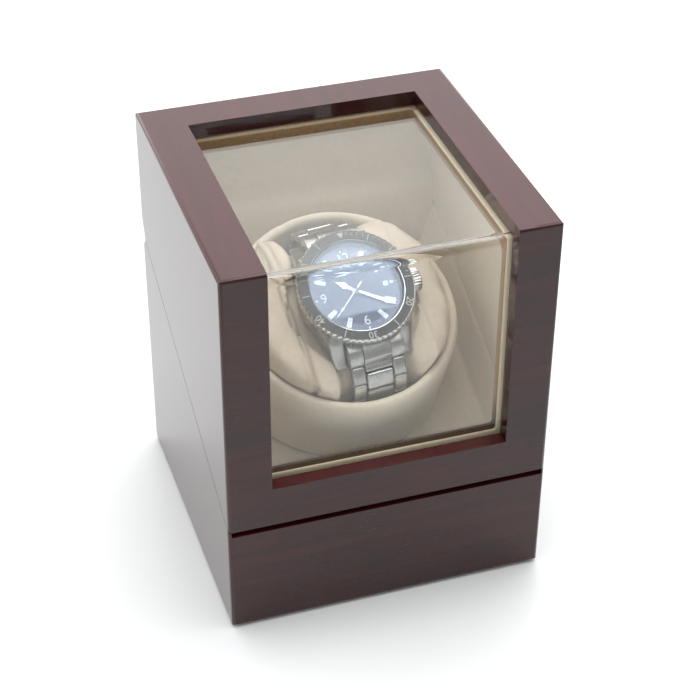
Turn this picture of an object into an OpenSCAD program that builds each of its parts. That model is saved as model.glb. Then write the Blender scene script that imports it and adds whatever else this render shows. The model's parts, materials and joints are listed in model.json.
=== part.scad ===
// Single-watch winder box: a lacquered case split by a sloping seam, a hinged lid with a bent
// window, and a padded drum that turns a cushion and its watch through a belt drive.
// Millimetres. X to the right, Y to the back, Z up. The origin is the centre of the underside.

/* [Case] */
// Width of the case
case_w = 127; // [124:1:132]
// Depth of the case
case_d = 126; // [124:1:130]
// Height of the closed case with its felt pad
case_h = 160; // [158:1:164]
// Radius of the outer edges
edge_r = 1.6; // [1:0.1:2.5]
// Thickness of the side and rear walls
wall_t = 4; // [3.5:0.1:4.2]
// Thickness of the window frame and the front walls
front_t = 6; // [5.5:0.1:6.2]
// Thickness of the felt pad under the case
felt_t = 0.8; // [0.5:0.1:1.5]

/* [Seam and lid] */
// Slope of the seam, the well floor and the drum
tilt = 25; // [24:0.5:26]
// Height of the seam at the front face
seam_front = 48; // [47:0.5:49]
// Width of the finger slot along the front of the seam
slot_h = 2.2; // [1.5:0.1:3]
// Gap between lid and base along the seam
seam_gap = 0.4; // [0.3:0.1:0.8]
// Width of the frame left and right of the window
frame_side = 17.3; // [16:0.1:19]
// Width of the frame behind the window
frame_back = 16.6; // [16:0.1:18]
// Height of the lower edge of the window
window_sill = 65.3; // [64:0.1:68]
// Thickness of the bent window sheet
pane_t = 2; // [1.5:0.1:2.4]

/* [Drum] */
// Distance of the drum axis from the front face, up the seam
drum_v = 73.3; // [72:0.1:75]
// Outer radius of the drum at its rim
drum_r = 44.8; // [43:0.1:46]
// Height of the drum above the seam
drum_top = 20.5; // [19:0.1:24]
// Width of the padded rim
rim_w = 4.4; // [4:0.1:6]

/* [Watch] */
// Radius of the bezel
bezel_r = 22.5; // [21:0.1:23]
// Height of the bezel above the seam
watch_w = 45.4; // [45:0.1:47]
// Distance of the watch centre below the drum axis, down the slope
watch_drop = 4; // [3.5:0.1:5]
// Angle at which the cushion sits round the drum axis
cushion_turn = 5.3; // [0:0.1:8]
// Width of the bracelet
bracelet_w = 22; // [20:0.5:23]
// Time shown: hours
show_hour = 10; // [0:1:11]
// Time shown: minutes
show_minute = 20; // [0:1:59]
// Time shown: seconds
show_second = 37; // [0:1:59]

/* [Hidden] */

$fn = 64;
big = 400;

// Colours
lacquer = "#3b1715";
suede = "#d8c8ac";
steel = "#b9bcc0";
brass = "#c9a85a";
black_plastic = "#222222";

// Case
half_w = case_w / 2;
half_d = case_d / 2;
cavity_x = half_w - wall_t;
cavity_front = -half_d + front_t;
cavity_back = half_d - wall_t - 0.2;
board_t = 3;
ledge_t = 3;
ledge_w = 3.5;
board_top = felt_t + board_t;
ledge_top = board_top + ledge_t;
groove_d = 4.5;
slot_end = 1.2;
slope = tan(tilt);
half_gap = seam_gap / 2 / cos(tilt);
frame_under = case_h - front_t;
window_x = half_w - frame_side;
window_back = half_d - frame_back;

// Lid hinge
hinge_y = half_d - 5;
hinge_z = seam_front + slope * (hinge_y + half_d);
lid_bevel_z = hinge_z + 12.6;
knuckle_r = 1.8;
knuckle_l = 7.8;
knuckle_pitch = 8.1;
pocket_r = 2.1;
hinge_pin_r = 0.75;
run_gap = 0.05;
hinge_x = 32;
hinge_l = 24.2;
leaf_t = 0.9;
leaf_h = 12.5;
leaf_y = cavity_back - leaf_t;

// Liners and well
liner_t = 1.5;
glue = 0.05;
liner_x = cavity_x - liner_t;
liner_y = cavity_back - 0.3 - liner_t;
trim_t = 5;
trim_step = 1.3;
trim_r = 4;
bend_r = 3.2;
well_depth = 15.8;
tray_t = 1.8;
floor_half_w = 52.5;
floor_w = -well_depth - tray_t - 0.2;
floor_t = 3;
plate_w = floor_w - floor_t;
plate_t = 2;
cove_t = 3.1;
cove_back = hinge_y - knuckle_r - 0.1;
cove_top = hinge_z + 9.1;

// Drum
drum_floor = -well_depth + 1.2;
cover_t = 0.75;
shell_floor_t = 2.5;
rim_r = rim_w / 2;
lining_r = drum_r - rim_w + 0.2;
lining_t = 0.9;
spindle_r = 3;
spindle_flange_t = 1.2;
bush_r = 5;
bush_flange_r = 8;

// Belt drive: the two pulleys give three turns of the motor to one of the drum
belt_d = 38;
drum_pitch_r = 21;
motor_pitch_r = 7;
belt_t = 1.6;
belt_h = 3;
pulley_top = -38;
pulley_h = 7;
flange_r = 2.2;
gearbox_h = 14;
gearbox_w = plate_w - plate_t;
shaft_r = 2.5;

// Rear controls
control_z = 25;
control_h = 25.8;
control_l = 61.8;
control_depth = 4.9;
control_t = 1.2;
control_mid = half_d - 0.1 - control_depth;
rocker_x = -20;
turns_x = -3;
direction_x = 12;
jack_x = 24;
rocker_pin_r = 0.8;
knob_r = 6;
knob_shaft_r = 2;

// Cushion
pillow_left = -34.4;
pillow_right = 30.8;
pillow_low = -4.8;
pillow_top = 29.4;
pillow_r = 13;
pad_r = 7;
pillow_seam_x = 24.5;
pillow_fit = drum_r - rim_w - 0.3;

// Watch, in its own frame with the bezel's face at zero
watch_lean = 6;
bezel_h = 3.6;
insert_in_r = bezel_r - 4.8;
dial_r = insert_in_r - 0.9;
dial_z = -3.9;
case_r = bezel_r - 1.4;
case_low = -12;
back_t = 2;
lug_gap = bracelet_w / 2 + 0.3;
lug_t = 3.2;
lug_reach = 25;
crown_r = 4.1;
crown_z = -7.8;
stem_r = 1;

// Bracelet path round the cushion, as straight runs and bends
link_pitch = 7.1;
link_t = 3.4;
centre_link_w = bracelet_w / 2;
path_left = -36.8;
path_right = 33;
path_low = -7;
path_r = 16;
path_end_r = 14;
start_angle = 58;
run_down = 9;
run_up = 14;
bend = path_r * PI / 2;
run_low = path_right - path_left - 2 * path_r;
start_bend = path_r * start_angle * PI / 180;
link_count = 20;

// ---- frames and shared shapes ----

// The sloping frame: Y runs up the seam and Z stands square to it
module seam_frame() {
    translate([0, -half_d, seam_front])
        rotate([tilt, 0, 0])
            children();
}

module drum_frame() {
    seam_frame()
        translate([0, drum_v, 0])
            children();
}

// The cushion's frame: the drum's, turned about the drum axis
module cushion_frame() {
    drum_frame()
        rotate([0, 0, cushion_turn])
            children();
}

module watch_frame() {
    cushion_frame()
        translate([0, -watch_drop, watch_w])
            rotate([watch_lean, 0, 0])
                children();
}

// Extrudes a side view, drawn as depth and height, across the width
module across(w) {
    rotate([90, 0, 90])
        linear_extrude(w, center = true)
            children();
}

module rounded_rect(w, d, r) {
    square([w - 2 * r, d], center = true);
    square([w, d - 2 * r], center = true);
    for (x = [-1, 1], y = [-1, 1])
        translate([x * (w / 2 - r), y * (d / 2 - r)])
            circle(r = r);
}

// Everything behind a front line and under a top line, rounded where they meet
module corner_area(front, top, r) {
    translate([front, -big])
        square([big, big + top - r]);
    translate([front + r, -big])
        square([big, big + top]);
    translate([front + r, top - r])
        circle(r = r);
}

module ring(r_out, r_in, h) {
    difference() {
        cylinder(r = r_out, h = h);
        translate([0, 0, -1])
            cylinder(r = r_in, h = h + 2);
    }
}

// A box given by its two corners
module span_box(low, high) {
    translate(low)
        cube(high - low);
}

// A screw with its head at zero and its shank pointing down
module screw(r, l, head_r, head_h) {
    translate([0, 0, -l])
        cylinder(r = r, h = l + 0.1);
    difference() {
        cylinder(r = head_r, h = head_h);
        for (a = [0, 90])
            rotate([0, 0, a])
                span_box([-head_r * 0.6, -0.2, head_h * 0.5], [head_r * 0.6, 0.2, head_h + 1]);
    }
}

// The whole outside of the closed case, with its rounded edges
module case_block() {
    h = case_h - felt_t;
    translate([0, 0, felt_t + h / 2])
        intersection() {
            linear_extrude(h, center = true)
                rounded_rect(case_w, case_d, edge_r);
            across(case_w)
                rounded_rect(case_d, h, edge_r);
            rotate([90, 0, 0])
                linear_extrude(case_d, center = true)
                    rounded_rect(case_w, h, edge_r);
        }
}

module above_seam(lift) {
    intersection() {
        children();
        seam_frame()
            span_box([-big, -big, lift], [big, big, big]);
    }
}

module hinge_pockets() {
    for (x = [-1, 1])
        translate([x * hinge_x, hinge_y, hinge_z])
            rotate([0, 90, 0])
                cylinder(r = pocket_r, h = hinge_l + 0.6, center = true);
}

// ---- base ----

module base_case() {
    color(lacquer)
        difference() {
            intersection() {
                case_block();
                across(case_w + 2)
                    polygon([
                        [-half_d - 1, felt_t - 1],
                        [half_d + 1, felt_t - 1],
                        [half_d + 1, hinge_z - half_gap - 6],
                        [hinge_y, hinge_z - half_gap],
                        [-half_d - 1, seam_front - half_gap - slope]
                    ]);
            }
            span_box([-cavity_x, cavity_front, ledge_top], [cavity_x, cavity_back, case_h]);
            span_box(
                [-cavity_x + ledge_w, cavity_front + ledge_w, 0],
                [cavity_x - ledge_w, cavity_back - ledge_w, ledge_top + 1]
            );
            span_box([-cavity_x, cavity_front, 0], [cavity_x, cavity_back, board_top]);
            span_box(
                [-half_w + slot_end, -half_d - 1, seam_front - slot_h],
                [half_w - slot_end, -half_d + groove_d, seam_front + 9]
            );
            translate([0, half_d, control_z])
                cube([control_l + 0.2, 20, control_h + 0.2], center = true);
            hinge_pockets();
            for_bottom_screws()
                cylinder(r = 1.1, h = ledge_top + 1);
        }
}

module for_bottom_screws() {
    for (x = [-1, 1], y = [-1, 1])
        translate([x * (cavity_x - 2), y * (half_d - front_t - 2) , 0])
            children();
}

module bottom_board() {
    color("#8a6a48")
        difference() {
            span_box(
                [-cavity_x + 0.1, cavity_front + 0.1, felt_t],
                [cavity_x - 0.1, cavity_back - 0.1, board_top]
            );
            for_bottom_screws()
                translate([0, 0, felt_t - 1])
                    union() {
                        cylinder(r = 1.1, h = board_t + 2);
                        cylinder(r = 2.1, h = 2);
                    }
        }
}

module bottom_screws() {
    color(steel)
        for_bottom_screws()
            translate([0, 0, felt_t + 1])
                mirror([0, 0, 1])
                    screw(1.05, 4.2, 2, 0.8);
}

module felt_pad() {
    color("#2b2b2b")
        difference() {
            linear_extrude(felt_t)
                rounded_rect(case_w - 4, case_d - 4, 4);
            for_bottom_screws()
                translate([0, 0, -1])
                    cylinder(r = 2.4, h = felt_t + 2);
        }
}

// A board parallel to the seam, trimmed to the case's inside
module sloping_board(x, low, high, front, back) {
    intersection() {
        seam_frame()
            span_box([-x, -big, low], [x, big, high]);
        span_box([-x, front, 0], [x, back, case_h]);
    }
}

module floor_board() {
    color("#9c7a52")
        difference() {
            sloping_board(
                cavity_x - 0.1, floor_w - floor_t, floor_w, cavity_front + 0.1, cavity_back - 0.1
            );
            drum_frame()
                translate([0, 0, -60])
                    cylinder(r = 9, h = 60);
        }
}

module floor_cleats() {
    color("#b08c60")
        for (side = [0, 1])
            mirror([side, 0, 0])
                intersection() {
                    sloping_board(
                        cavity_x - 0.1, plate_w - 6.1, plate_w - 0.1,
                        cavity_front + 2, cavity_back - 2
                    );
                    span_box([cavity_x - 6, -big, 0], [cavity_x + 1, big, case_h]);
                }
}

// The well's lining: a floor parallel to the seam, with sides that slope out to the seam
module well_tray() {
    x = cavity_x - 0.15;
    front = cavity_front + 0.1;
    back = cove_back - cove_t - 0.1;
    color(suede)
        difference() {
            sloping_board(x, -well_depth - tray_t, -seam_gap / 2 - 0.1, front, back);
            intersection() {
                seam_frame()
                    rotate([90, 0, 0])
                        linear_extrude(big, center = true)
                            polygon([
                                [-floor_half_w, -well_depth],
                                [floor_half_w, -well_depth],
                                [liner_x, 0],
                                [liner_x, 5],
                                [-liner_x, 5],
                                [-liner_x, 0]
                            ]);
                span_box([-big, front + liner_t, 0], [big, big, case_h]);
            }
            drum_frame()
                translate([0, 0, -60])
                    cylinder(r = 9, h = 60);
        }
}

// The padded strip that hides the hinges from inside
module rear_cove() {
    low = hinge_z - 20.3;
    color(suede)
        across(2 * liner_x - 0.6) {
            translate([cove_back - cove_t, low])
                square([cove_t, cove_top - cove_t / 2 - low]);
            translate([cove_back - cove_t / 2, cove_top - cove_t / 2])
                circle(d = cove_t);
        }
}

// ---- lid hinges ----

// One hinge's knuckles: two outer ones for the base or one middle one for the lid
module hinge_half(slots, others, bore, low, high) {
    difference() {
        union() {
            for (k = slots)
                translate([k * knuckle_pitch, hinge_y, hinge_z])
                    rotate([0, 90, 0])
                        cylinder(r = knuckle_r, h = knuckle_l, center = true);
            span_box(
                [-hinge_l / 2, leaf_y, min(low, high)],
                [hinge_l / 2, leaf_y + leaf_t, max(low, high)]
            );
        }
        for (k = others)
            translate([k * knuckle_pitch, hinge_y, hinge_z])
                rotate([0, 90, 0])
                    cylinder(r = pocket_r, h = knuckle_l + 0.6, center = true);
        translate([0, hinge_y, hinge_z])
            rotate([0, 90, 0])
                cylinder(r = bore, h = hinge_l + 2, center = true);
        for_leaf_screws(high > low ? 1 : -1)
            rotate([90, 0, 0])
                cylinder(r = 0.8, h = 10, center = true);
    }
}

module for_leaf_screws(side) {
    for (x = [-8, 8])
        translate([x, leaf_y, hinge_z + side * 8])
            children();
}

module hinge_base_leaves() {
    color(brass)
        for (x = [-hinge_x, hinge_x])
            translate([x, 0, 0])
                hinge_half([-1, 1], [0], hinge_pin_r, hinge_z - 0.5, hinge_z - leaf_h);
}

module hinge_lid_leaves() {
    color(brass)
        for (x = [-hinge_x, hinge_x])
            translate([x, 0, 0])
                hinge_half([0], [-1, 1], hinge_pin_r + run_gap, hinge_z + 0.5, hinge_z + leaf_h);
}

module hinge_pins() {
    color(steel)
        for (x = [-hinge_x, hinge_x])
            translate([x, hinge_y, hinge_z])
                rotate([0, 90, 0])
                    cylinder(r = hinge_pin_r, h = hinge_l, center = true);
}

module leaf_screws(side) {
    color(brass)
        for (x = [-hinge_x, hinge_x])
            translate([x, 0, 0])
                for_leaf_screws(side)
                    rotate([90, 0, 0])
                        screw(0.75, 3.5, 1.5, 0.4);
}

module hinge_base_screws() {
    leaf_screws(-1);
}

module hinge_lid_screws() {
    leaf_screws(1);
}

// ---- drive ----

module for_plate_screws() {
    for (x = [-25, 25], v = [-53, 11])
        translate([x, v, plate_w - plate_t])
            children();
}

module drive_plate() {
    color("#8e9296")
        drum_frame()
            difference() {
                span_box([-30, -58, plate_w - plate_t], [30, 16, plate_w]);
                translate([0, 0, plate_w - 10])
                    cylinder(r = bush_r, h = 20);
                for_plate_screws()
                    cylinder(r = 1.5, h = 10, center = true);
                for_gearbox_screws()
                    cylinder(r = 1.2, h = 60, center = true);
            }
}

module plate_screws() {
    color(steel)
        drum_frame()
            for_plate_screws()
                mirror([0, 0, 1])
                    screw(1.4, 4.5, 2.6, 1.4);
}

module spindle_bush() {
    color(brass)
        drum_frame()
            difference() {
                union() {
                    translate([0, 0, -27])
                        cylinder(r = bush_r, h = 11.4);
                    translate([0, 0, plate_w - plate_t - 1.6])
                        cylinder(r = bush_flange_r, h = 1.6);
                }
                translate([0, 0, -40])
                    cylinder(r = spindle_r + run_gap, h = 40);
            }
}

module for_gearbox_screws() {
    for (x = [-12, 12], v = [-14, 14])
        translate([x, v - belt_d, gearbox_w - gearbox_h])
            children();
}

module gearbox_housing() {
    color("#d9d6cc")
        drum_frame()
            difference() {
                translate([0, -belt_d, gearbox_w - gearbox_h])
                    linear_extrude(gearbox_h)
                        rounded_rect(30, 34, 3);
                translate([0, -belt_d, gearbox_w - gearbox_h - 1])
                    cylinder(r = shaft_r + run_gap, h = 11);
                for_gearbox_screws()
                    cylinder(r = 1.2, h = 60, center = true);
            }
}

module gearbox_screws() {
    color(steel)
        drum_frame()
            for_gearbox_screws()
                mirror([0, 0, 1])
                    screw(1.15, gearbox_h + plate_t, 2.3, 1.2);
}

module motor_can() {
    color(steel)
        drum_frame()
            translate([15, -belt_d, gearbox_w - gearbox_h / 2])
                rotate([0, 90, 0])
                    union() {
                        cylinder(r = 6.5, h = 22);
                        translate([0, 0, 22])
                            cylinder(r = 2.5, h = 1.5);
                        for (y = [-3.5, 3.5])
                            translate([0, y, 22])
                                cylinder(r = 0.5, h = 3);
                    }
}

// Outline of a belt round two wheels
module belt_outline(r1, r2) {
    hull() {
        circle(r = r1, $fn = 96);
        translate([0, -belt_d])
            circle(r = r2, $fn = 96);
    }
}

module drive_belt() {
    color("#1c1c1c")
        drum_frame()
            translate([0, 0, pulley_top - pulley_h / 2 - belt_h / 2])
                linear_extrude(belt_h)
                    difference() {
                        belt_outline(drum_pitch_r + belt_t, motor_pitch_r + belt_t);
                        belt_outline(drum_pitch_r + 0.06, motor_pitch_r + 0.06);
                    }
}

// A flanged pulley with a flat-bottomed groove, its top face at zero
module pulley(r, hole) {
    side = (pulley_h - belt_h) / 2 - 0.3;
    difference() {
        union() {
            translate([0, 0, -pulley_h])
                cylinder(r = r, h = pulley_h);
            for (z = [-side, -pulley_h])
                translate([0, 0, z])
                    cylinder(r = r + flange_r, h = side);
        }
        translate([0, 0, -pulley_h - 1])
            cylinder(r = hole, h = pulley_h + 2);
    }
}

module output_shaft() {
    color(steel)
        drum_frame()
            translate([0, -belt_d, pulley_top - pulley_h - 1])
                cylinder(r = shaft_r, h = gearbox_w - gearbox_h + 9 - pulley_top + pulley_h + 1);
}

module motor_pulley() {
    color(black_plastic)
        drum_frame()
            translate([0, -belt_d, pulley_top])
                pulley(motor_pitch_r, shaft_r);
}

module drum_pulley() {
    color(black_plastic)
        drum_frame()
            difference() {
                union() {
                    translate([0, 0, pulley_top])
                        pulley(drum_pitch_r, spindle_r);
                    translate([0, 0, pulley_top])
                        ring(6, spindle_r, -27.4 - pulley_top);
                }
                for (a = [0:60:300])
                    rotate([0, 0, a])
                        translate([12.5, 0, pulley_top - pulley_h - 1])
                            cylinder(r = 4.2, h = pulley_h + 2);
            }
}

module drum_spindle() {
    low = pulley_top - pulley_h - 2.2;
    color(steel)
        drum_frame()
            difference() {
                union() {
                    translate([0, 0, low])
                        cylinder(r = spindle_r, h = drum_floor + shell_floor_t - low);
                    translate([0, 0, drum_floor + shell_floor_t])
                        cylinder(r = 9, h = spindle_flange_t);
                }
                translate([0, 0, pulley_top - pulley_h - 1.1])
                    ring(spindle_r + 1, spindle_r - 0.6, 0.9);
            }
}

module spindle_clip() {
    color("#44474a")
        drum_frame()
            translate([0, 0, pulley_top - pulley_h - 1.05])
                difference() {
                    ring(5.2, spindle_r - 0.6, 0.8);
                    span_box([-1.6, 0, -1], [1.6, 9, 2]);
                }
}

// ---- control electronics ----

module for_board_posts() {
    for (x = [-21, 21], y = [10, 38])
        translate([x, y, 0])
            children();
}

module control_board() {
    z = board_top + 4.2;
    color("#2f6b3a")
        difference() {
            span_box([-25, 6, z], [25, 42, z + 1.6]);
            for_board_posts()
                cylinder(r = 1.25, h = big);
        }
    color(black_plastic)
        span_box([-8, 14, z + 1.6], [2, 24, z + 3.2]);
    color("#3c4c8c")
        translate([12, 18, z + 1.6])
            cylinder(r = 4, h = 8);
    color("#e8e4d8")
        span_box([-20, 28, z + 1.6], [-10, 33, z + 7]);
}

module board_standoffs() {
    color("#e8e4d8")
        for_board_posts()
            translate([0, 0, board_top])
                union() {
                    cylinder(r = 2.4, h = 4.2);
                    cylinder(r = 1.2, h = 7);
                }
}

// The recessed panel in the back, open to the rear
module control_tray() {
    color(black_plastic)
        difference() {
            span_box(
                [-control_l / 2, control_mid - control_t, control_z - control_h / 2],
                [control_l / 2, half_d - 0.1, control_z + control_h / 2]
            );
            span_box(
                [-control_l / 2 + control_t, control_mid, control_z - control_h / 2 + control_t],
                [control_l / 2 - control_t, half_d + 1, control_z + control_h / 2 - control_t]
            );
            for (x = [turns_x, direction_x])
                rear_cylinder(x, knob_shaft_r + run_gap, control_mid - 5, control_mid + 1);
            rear_cylinder(jack_x, 4, control_mid - 5, control_mid + 1);
            span_box(
                [rocker_x - 7, control_mid - 5, control_z - 6],
                [rocker_x + 7, control_mid + 1, control_z + 6]
            );
        }
}

// A cylinder lying along Y between two depths, on the controls' centre line
module rear_cylinder(x, r, y0, y1) {
    translate([x, y1, control_z])
        rotate([90, 0, 0])
            cylinder(r = r, h = y1 - y0);
}

module rocker_housing() {
    color("#111111")
        difference() {
            union() {
                span_box(
                    [rocker_x - 6.9, control_mid - 9, control_z - 5.9],
                    [rocker_x + 6.9, control_mid + 0.2, control_z + 5.9]
                );
                span_box(
                    [rocker_x - 8, control_mid, control_z - 7],
                    [rocker_x + 8, control_mid + 0.8, control_z + 7]
                );
            }
            span_box(
                [rocker_x - 5.7, control_mid - 5, control_z - 5.2],
                [rocker_x + 5.7, control_mid + 2, control_z + 5.2]
            );
            rocker_pivot(rocker_pin_r + run_gap, 13);
        }
}

module rocker_pivot(r, l) {
    translate([rocker_x, control_mid - 1, control_z])
        rotate([0, 90, 0])
            cylinder(r = r, h = l, center = true);
}

module power_rocker() {
    color("#9b1c1c") {
        translate([rocker_x, control_mid - 1, control_z])
            across(11)
                polygon([[-2.6, -3.4], [2.6, -4.5], [2.1, 0], [2.6, 4.5], [-2.6, 3.4]]);
        rocker_pivot(rocker_pin_r, 12.6);
    }
}

module selector_switches() {
    color("#4a4d52")
        for (x = [turns_x, direction_x])
            difference() {
                span_box(
                    [x - 6, control_mid - 10, control_z - 6],
                    [x + 6, control_mid - control_t - 0.1, control_z + 6]
                );
                rear_cylinder(x, knob_shaft_r + run_gap, control_mid - 8, control_mid);
            }
}

module knob(x) {
    color("#2d2d2d")
        difference() {
            union() {
                rear_cylinder(x, knob_r, control_mid + 0.3, half_d - 0.4);
                rear_cylinder(x, knob_shaft_r, control_mid - 7.6, control_mid + 1);
            }
            span_box([x - 0.5, half_d - 1, control_z + 1], [x + 0.5, half_d, control_z + knob_r + 1]);
            for (a = [0:15:345])
                if (a != 90)
                    translate([x, 0, control_z])
                        rotate([0, a, 0])
                            translate([knob_r + 0.25, half_d + 1, 0])
                                rotate([90, 0, 0])
                                    cylinder(r = 0.5, h = 5);
        }
}

module turns_knob() {
    knob(turns_x);
}

module direction_knob() {
    knob(direction_x);
}

module dc_jack() {
    color("#1a1a1a")
        difference() {
            union() {
                rear_cylinder(jack_x, 3.95, control_mid - 11, control_mid + 0.2);
                rear_cylinder(jack_x, 5, control_mid, control_mid + 1.2);
            }
            rear_cylinder(jack_x, 2.8, control_mid - 8, control_mid + 3);
        }
    color(steel)
        rear_cylinder(jack_x, 1, control_mid - 9, control_mid - 0.5);
}

// A wire through a list of points, each run carried a little past its bend
module wire(points, r) {
    for (i = [0:len(points) - 2]) {
        d = points[i + 1] - points[i];
        l = norm(d);
        translate(points[i])
            rotate([0, acos(d[2] / l), atan2(d[1], d[0])])
                translate([0, 0, -r * 0.8])
                    cylinder(r = r, h = l + 1.6 * r, $fn = 24);
    }
}

module wiring() {
    z = board_top + 6.6;
    jack_back = control_mid - 11;
    color("#b02020")
        wire([[22, 16, z], [30, 10, z + 6], [44, -14, z + 10], [44, -18, 27], [41, -18.4, 28.6]], 0.6);
    color("#222222")
        wire([
            [20, 32, z], [22, 36, z + 8], [jack_x, 42, control_z], [jack_x, jack_back - 0.6, control_z]
        ], 0.6);
}

// ---- lid ----

module lid_case() {
    color(lacquer)
        difference() {
            intersection() {
                case_block();
                across(case_w + 2)
                    polygon([
                        [-half_d - 1, seam_front + half_gap - slope],
                        [hinge_y, hinge_z + half_gap],
                        [half_d, lid_bevel_z],
                        [half_d + 1, lid_bevel_z + 2.5],
                        [half_d + 1, case_h + 1],
                        [-half_d - 1, case_h + 1]
                    ]);
            }
            span_box([-cavity_x, cavity_front, 0], [cavity_x, cavity_back, frame_under]);
            span_box([-window_x, -half_d - 1, frame_under - 1], [window_x, window_back, case_h + 1]);
            span_box([-window_x, -half_d - 1, window_sill], [window_x, cavity_front + 1, case_h + 1]);
            hinge_pockets();
        }
}

// The bent sheet: one front leg and one top leg, with the bend between them
module lid_window() {
    low = window_sill - 5;
    color([0.85, 0.92, 0.95, 0.35])
        across(2 * (window_x + 6))
            intersection() {
                difference() {
                    corner_area(cavity_front, frame_under, bend_r);
                    corner_area(cavity_front + pane_t, frame_under - pane_t, bend_r - pane_t);
                }
                translate([cavity_front, low])
                    square([window_back + 4 - cavity_front, frame_under - low]);
            }
}

// The padded frame behind the window, bent like the window from the front over to the top
module window_trim() {
    front = cavity_front + pane_t + glue;
    top = frame_under - pane_t - glue;
    x = window_x - trim_step;
    color("#c9b184")
        above_seam(seam_gap + 0.3)
            difference() {
                across(2 * liner_x - 0.2)
                    intersection() {
                        difference() {
                            corner_area(front, top, bend_r - pane_t);
                            corner_area(front + trim_t, top - trim_t, trim_r);
                        }
                        translate([front, 0])
                            square([liner_y - 0.1 - front, top]);
                    }
                span_box([-x, -big, top - 40], [x, window_back - trim_step, big]);
                span_box([-x, -big, window_sill + trim_step], [x, front + trim_t + trim_r + 1, big]);
            }
}

module lid_liner_side(side) {
    z = seam_front + half_gap + 0.4;
    color(suede)
        translate([side * (liner_x + liner_t / 2), 0, 0])
            across(liner_t - 2 * glue)
                polygon([
                    [cavity_front + glue, z + slope * front_t],
                    [hinge_y - 0.3, z + slope * (hinge_y - 0.3 + half_d)],
                    [hinge_y - 0.3, frame_under - glue],
                    [cavity_front + glue, frame_under - glue]
                ]);
}

module lid_liner_left() {
    lid_liner_side(-1);
}

module lid_liner_right() {
    lid_liner_side(1);
}

module lid_liner_back() {
    color(suede)
        difference() {
            span_box(
                [-liner_x + 0.1, liner_y, hinge_z + 2.6],
                [liner_x - 0.1, liner_y + liner_t, frame_under - glue]
            );
            for (x = [-hinge_x, hinge_x])
                span_box(
                    [x - hinge_l / 2 - 0.3, leaf_y - 0.6, 0],
                    [x + hinge_l / 2 + 0.3, half_d, hinge_z + leaf_h + 0.4]
                );
        }
}

// ---- drum ----

module drum_shell() {
    top_r = drum_r - cover_t - 0.05;
    color("#cbb99a")
        drum_frame()
            rotate_extrude()
                polygon([
                    [spindle_r, drum_floor],
                    [top_r, drum_floor],
                    [top_r, drum_top],
                    [lining_r + lining_t + 0.05, drum_top],
                    [lining_r + lining_t + 0.05, drum_floor + shell_floor_t],
                    [spindle_r, drum_floor + shell_floor_t]
                ]);
}

module drum_cover() {
    color(suede)
        drum_frame()
            translate([0, 0, drum_floor])
                ring(drum_r, drum_r - cover_t, drum_top - drum_floor);
}

module drum_rim() {
    color(suede)
        drum_frame()
            rotate_extrude()
                translate([drum_r - rim_r, drum_top + 1])
                    difference() {
                        circle(r = rim_r);
                        translate([-rim_w, -rim_w - 0.95])
                            square([2 * rim_w, rim_w]);
                    }
}

module drum_lining() {
    low = drum_floor + shell_floor_t + spindle_flange_t + 0.05;
    color(suede)
        drum_frame() {
            translate([0, 0, low])
                ring(lining_r + lining_t, lining_r, drum_top - low);
            translate([0, 0, low])
                cylinder(r = lining_r, h = 0.7);
        }
}

// ---- cushion ----

// The cushion's section, swept across and trimmed to the round drum
module pillow_block(x0, x1, r) {
    w = pillow_right - pillow_left;
    h = pillow_top - pillow_low;
    cushion_frame()
        intersection() {
            translate([(x0 + x1) / 2, (pillow_left + pillow_right) / 2, (pillow_low + pillow_top) / 2])
                across(x1 - x0)
                    rounded_rect(w, h, r);
            translate([0, 0, -20])
                cylinder(r = pillow_fit, h = 80);
        }
}

module pillow_core() {
    color(suede)
        pillow_block(-pillow_seam_x + 0.15, pillow_seam_x - 0.15, pillow_r);
}

module pillow_end_pads() {
    color(suede) {
        pillow_block(-pillow_fit - 1, -pillow_seam_x - 0.15, pad_r);
        pillow_block(pillow_seam_x + 0.15, pillow_fit + 1, pad_r);
    }
}

// ---- watch ----

module watch_case() {
    color(steel)
        watch_frame()
            difference() {
                union() {
                    translate([0, 0, case_low])
                        cylinder(r = case_r, h = -bezel_h - 0.2 - case_low);
                    for (x = [-1, 1], y = [-1, 1])
                        lug(x, y);
                    span_box([10, -6, crown_z - 3], [case_r + 0.9, -4.2, crown_z + 3]);
                    span_box([10, 4.2, crown_z - 3], [case_r + 0.9, 6, crown_z + 3]);
                }
                translate([0, 0, dial_z - 0.5])
                    cylinder(r = insert_in_r - 0.2, h = 10);
                translate([10, 0, crown_z])
                    rotate([0, 90, 0])
                        cylinder(r = stem_r + run_gap, h = 20);
            }
}

module lug(x, y) {
    mirror([x < 0 ? 1 : 0, 0, 0])
        mirror([0, y < 0 ? 1 : 0, 0])
            translate([lug_gap + lug_t / 2, 0, 0])
                across(lug_t)
                    polygon([
                        [10, -bezel_h - 0.8],
                        [19, -bezel_h - 1.2],
                        [lug_reach - 1.5, case_low + 3.4],
                        [lug_reach, case_low],
                        [lug_reach - 0.6, case_low - 1],
                        [case_r - 1.4, case_low],
                        [10, case_low]
                    ]);
}

module case_back() {
    color(steel)
        watch_frame()
            translate([0, 0, case_low - back_t])
                union() {
                    cylinder(r = case_r - 4, h = back_t);
                    translate([0, 0, back_t / 2])
                        cylinder(r = case_r - 2, h = back_t / 2);
                }
}

module watch_crystal() {
    color([0.8, 0.9, 1, 0.3])
        watch_frame()
            intersection() {
                translate([0, 0, -150.2])
                    sphere(r = 151, $fn = 200);
                translate([0, 0, -1.6])
                    cylinder(r = insert_in_r - 0.25, h = 4);
            }
}

module watch_dial() {
    color("#20356e")
        watch_frame()
            translate([0, 0, dial_z - 0.45])
                cylinder(r = insert_in_r - 0.3, h = 0.4);
}

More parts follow.
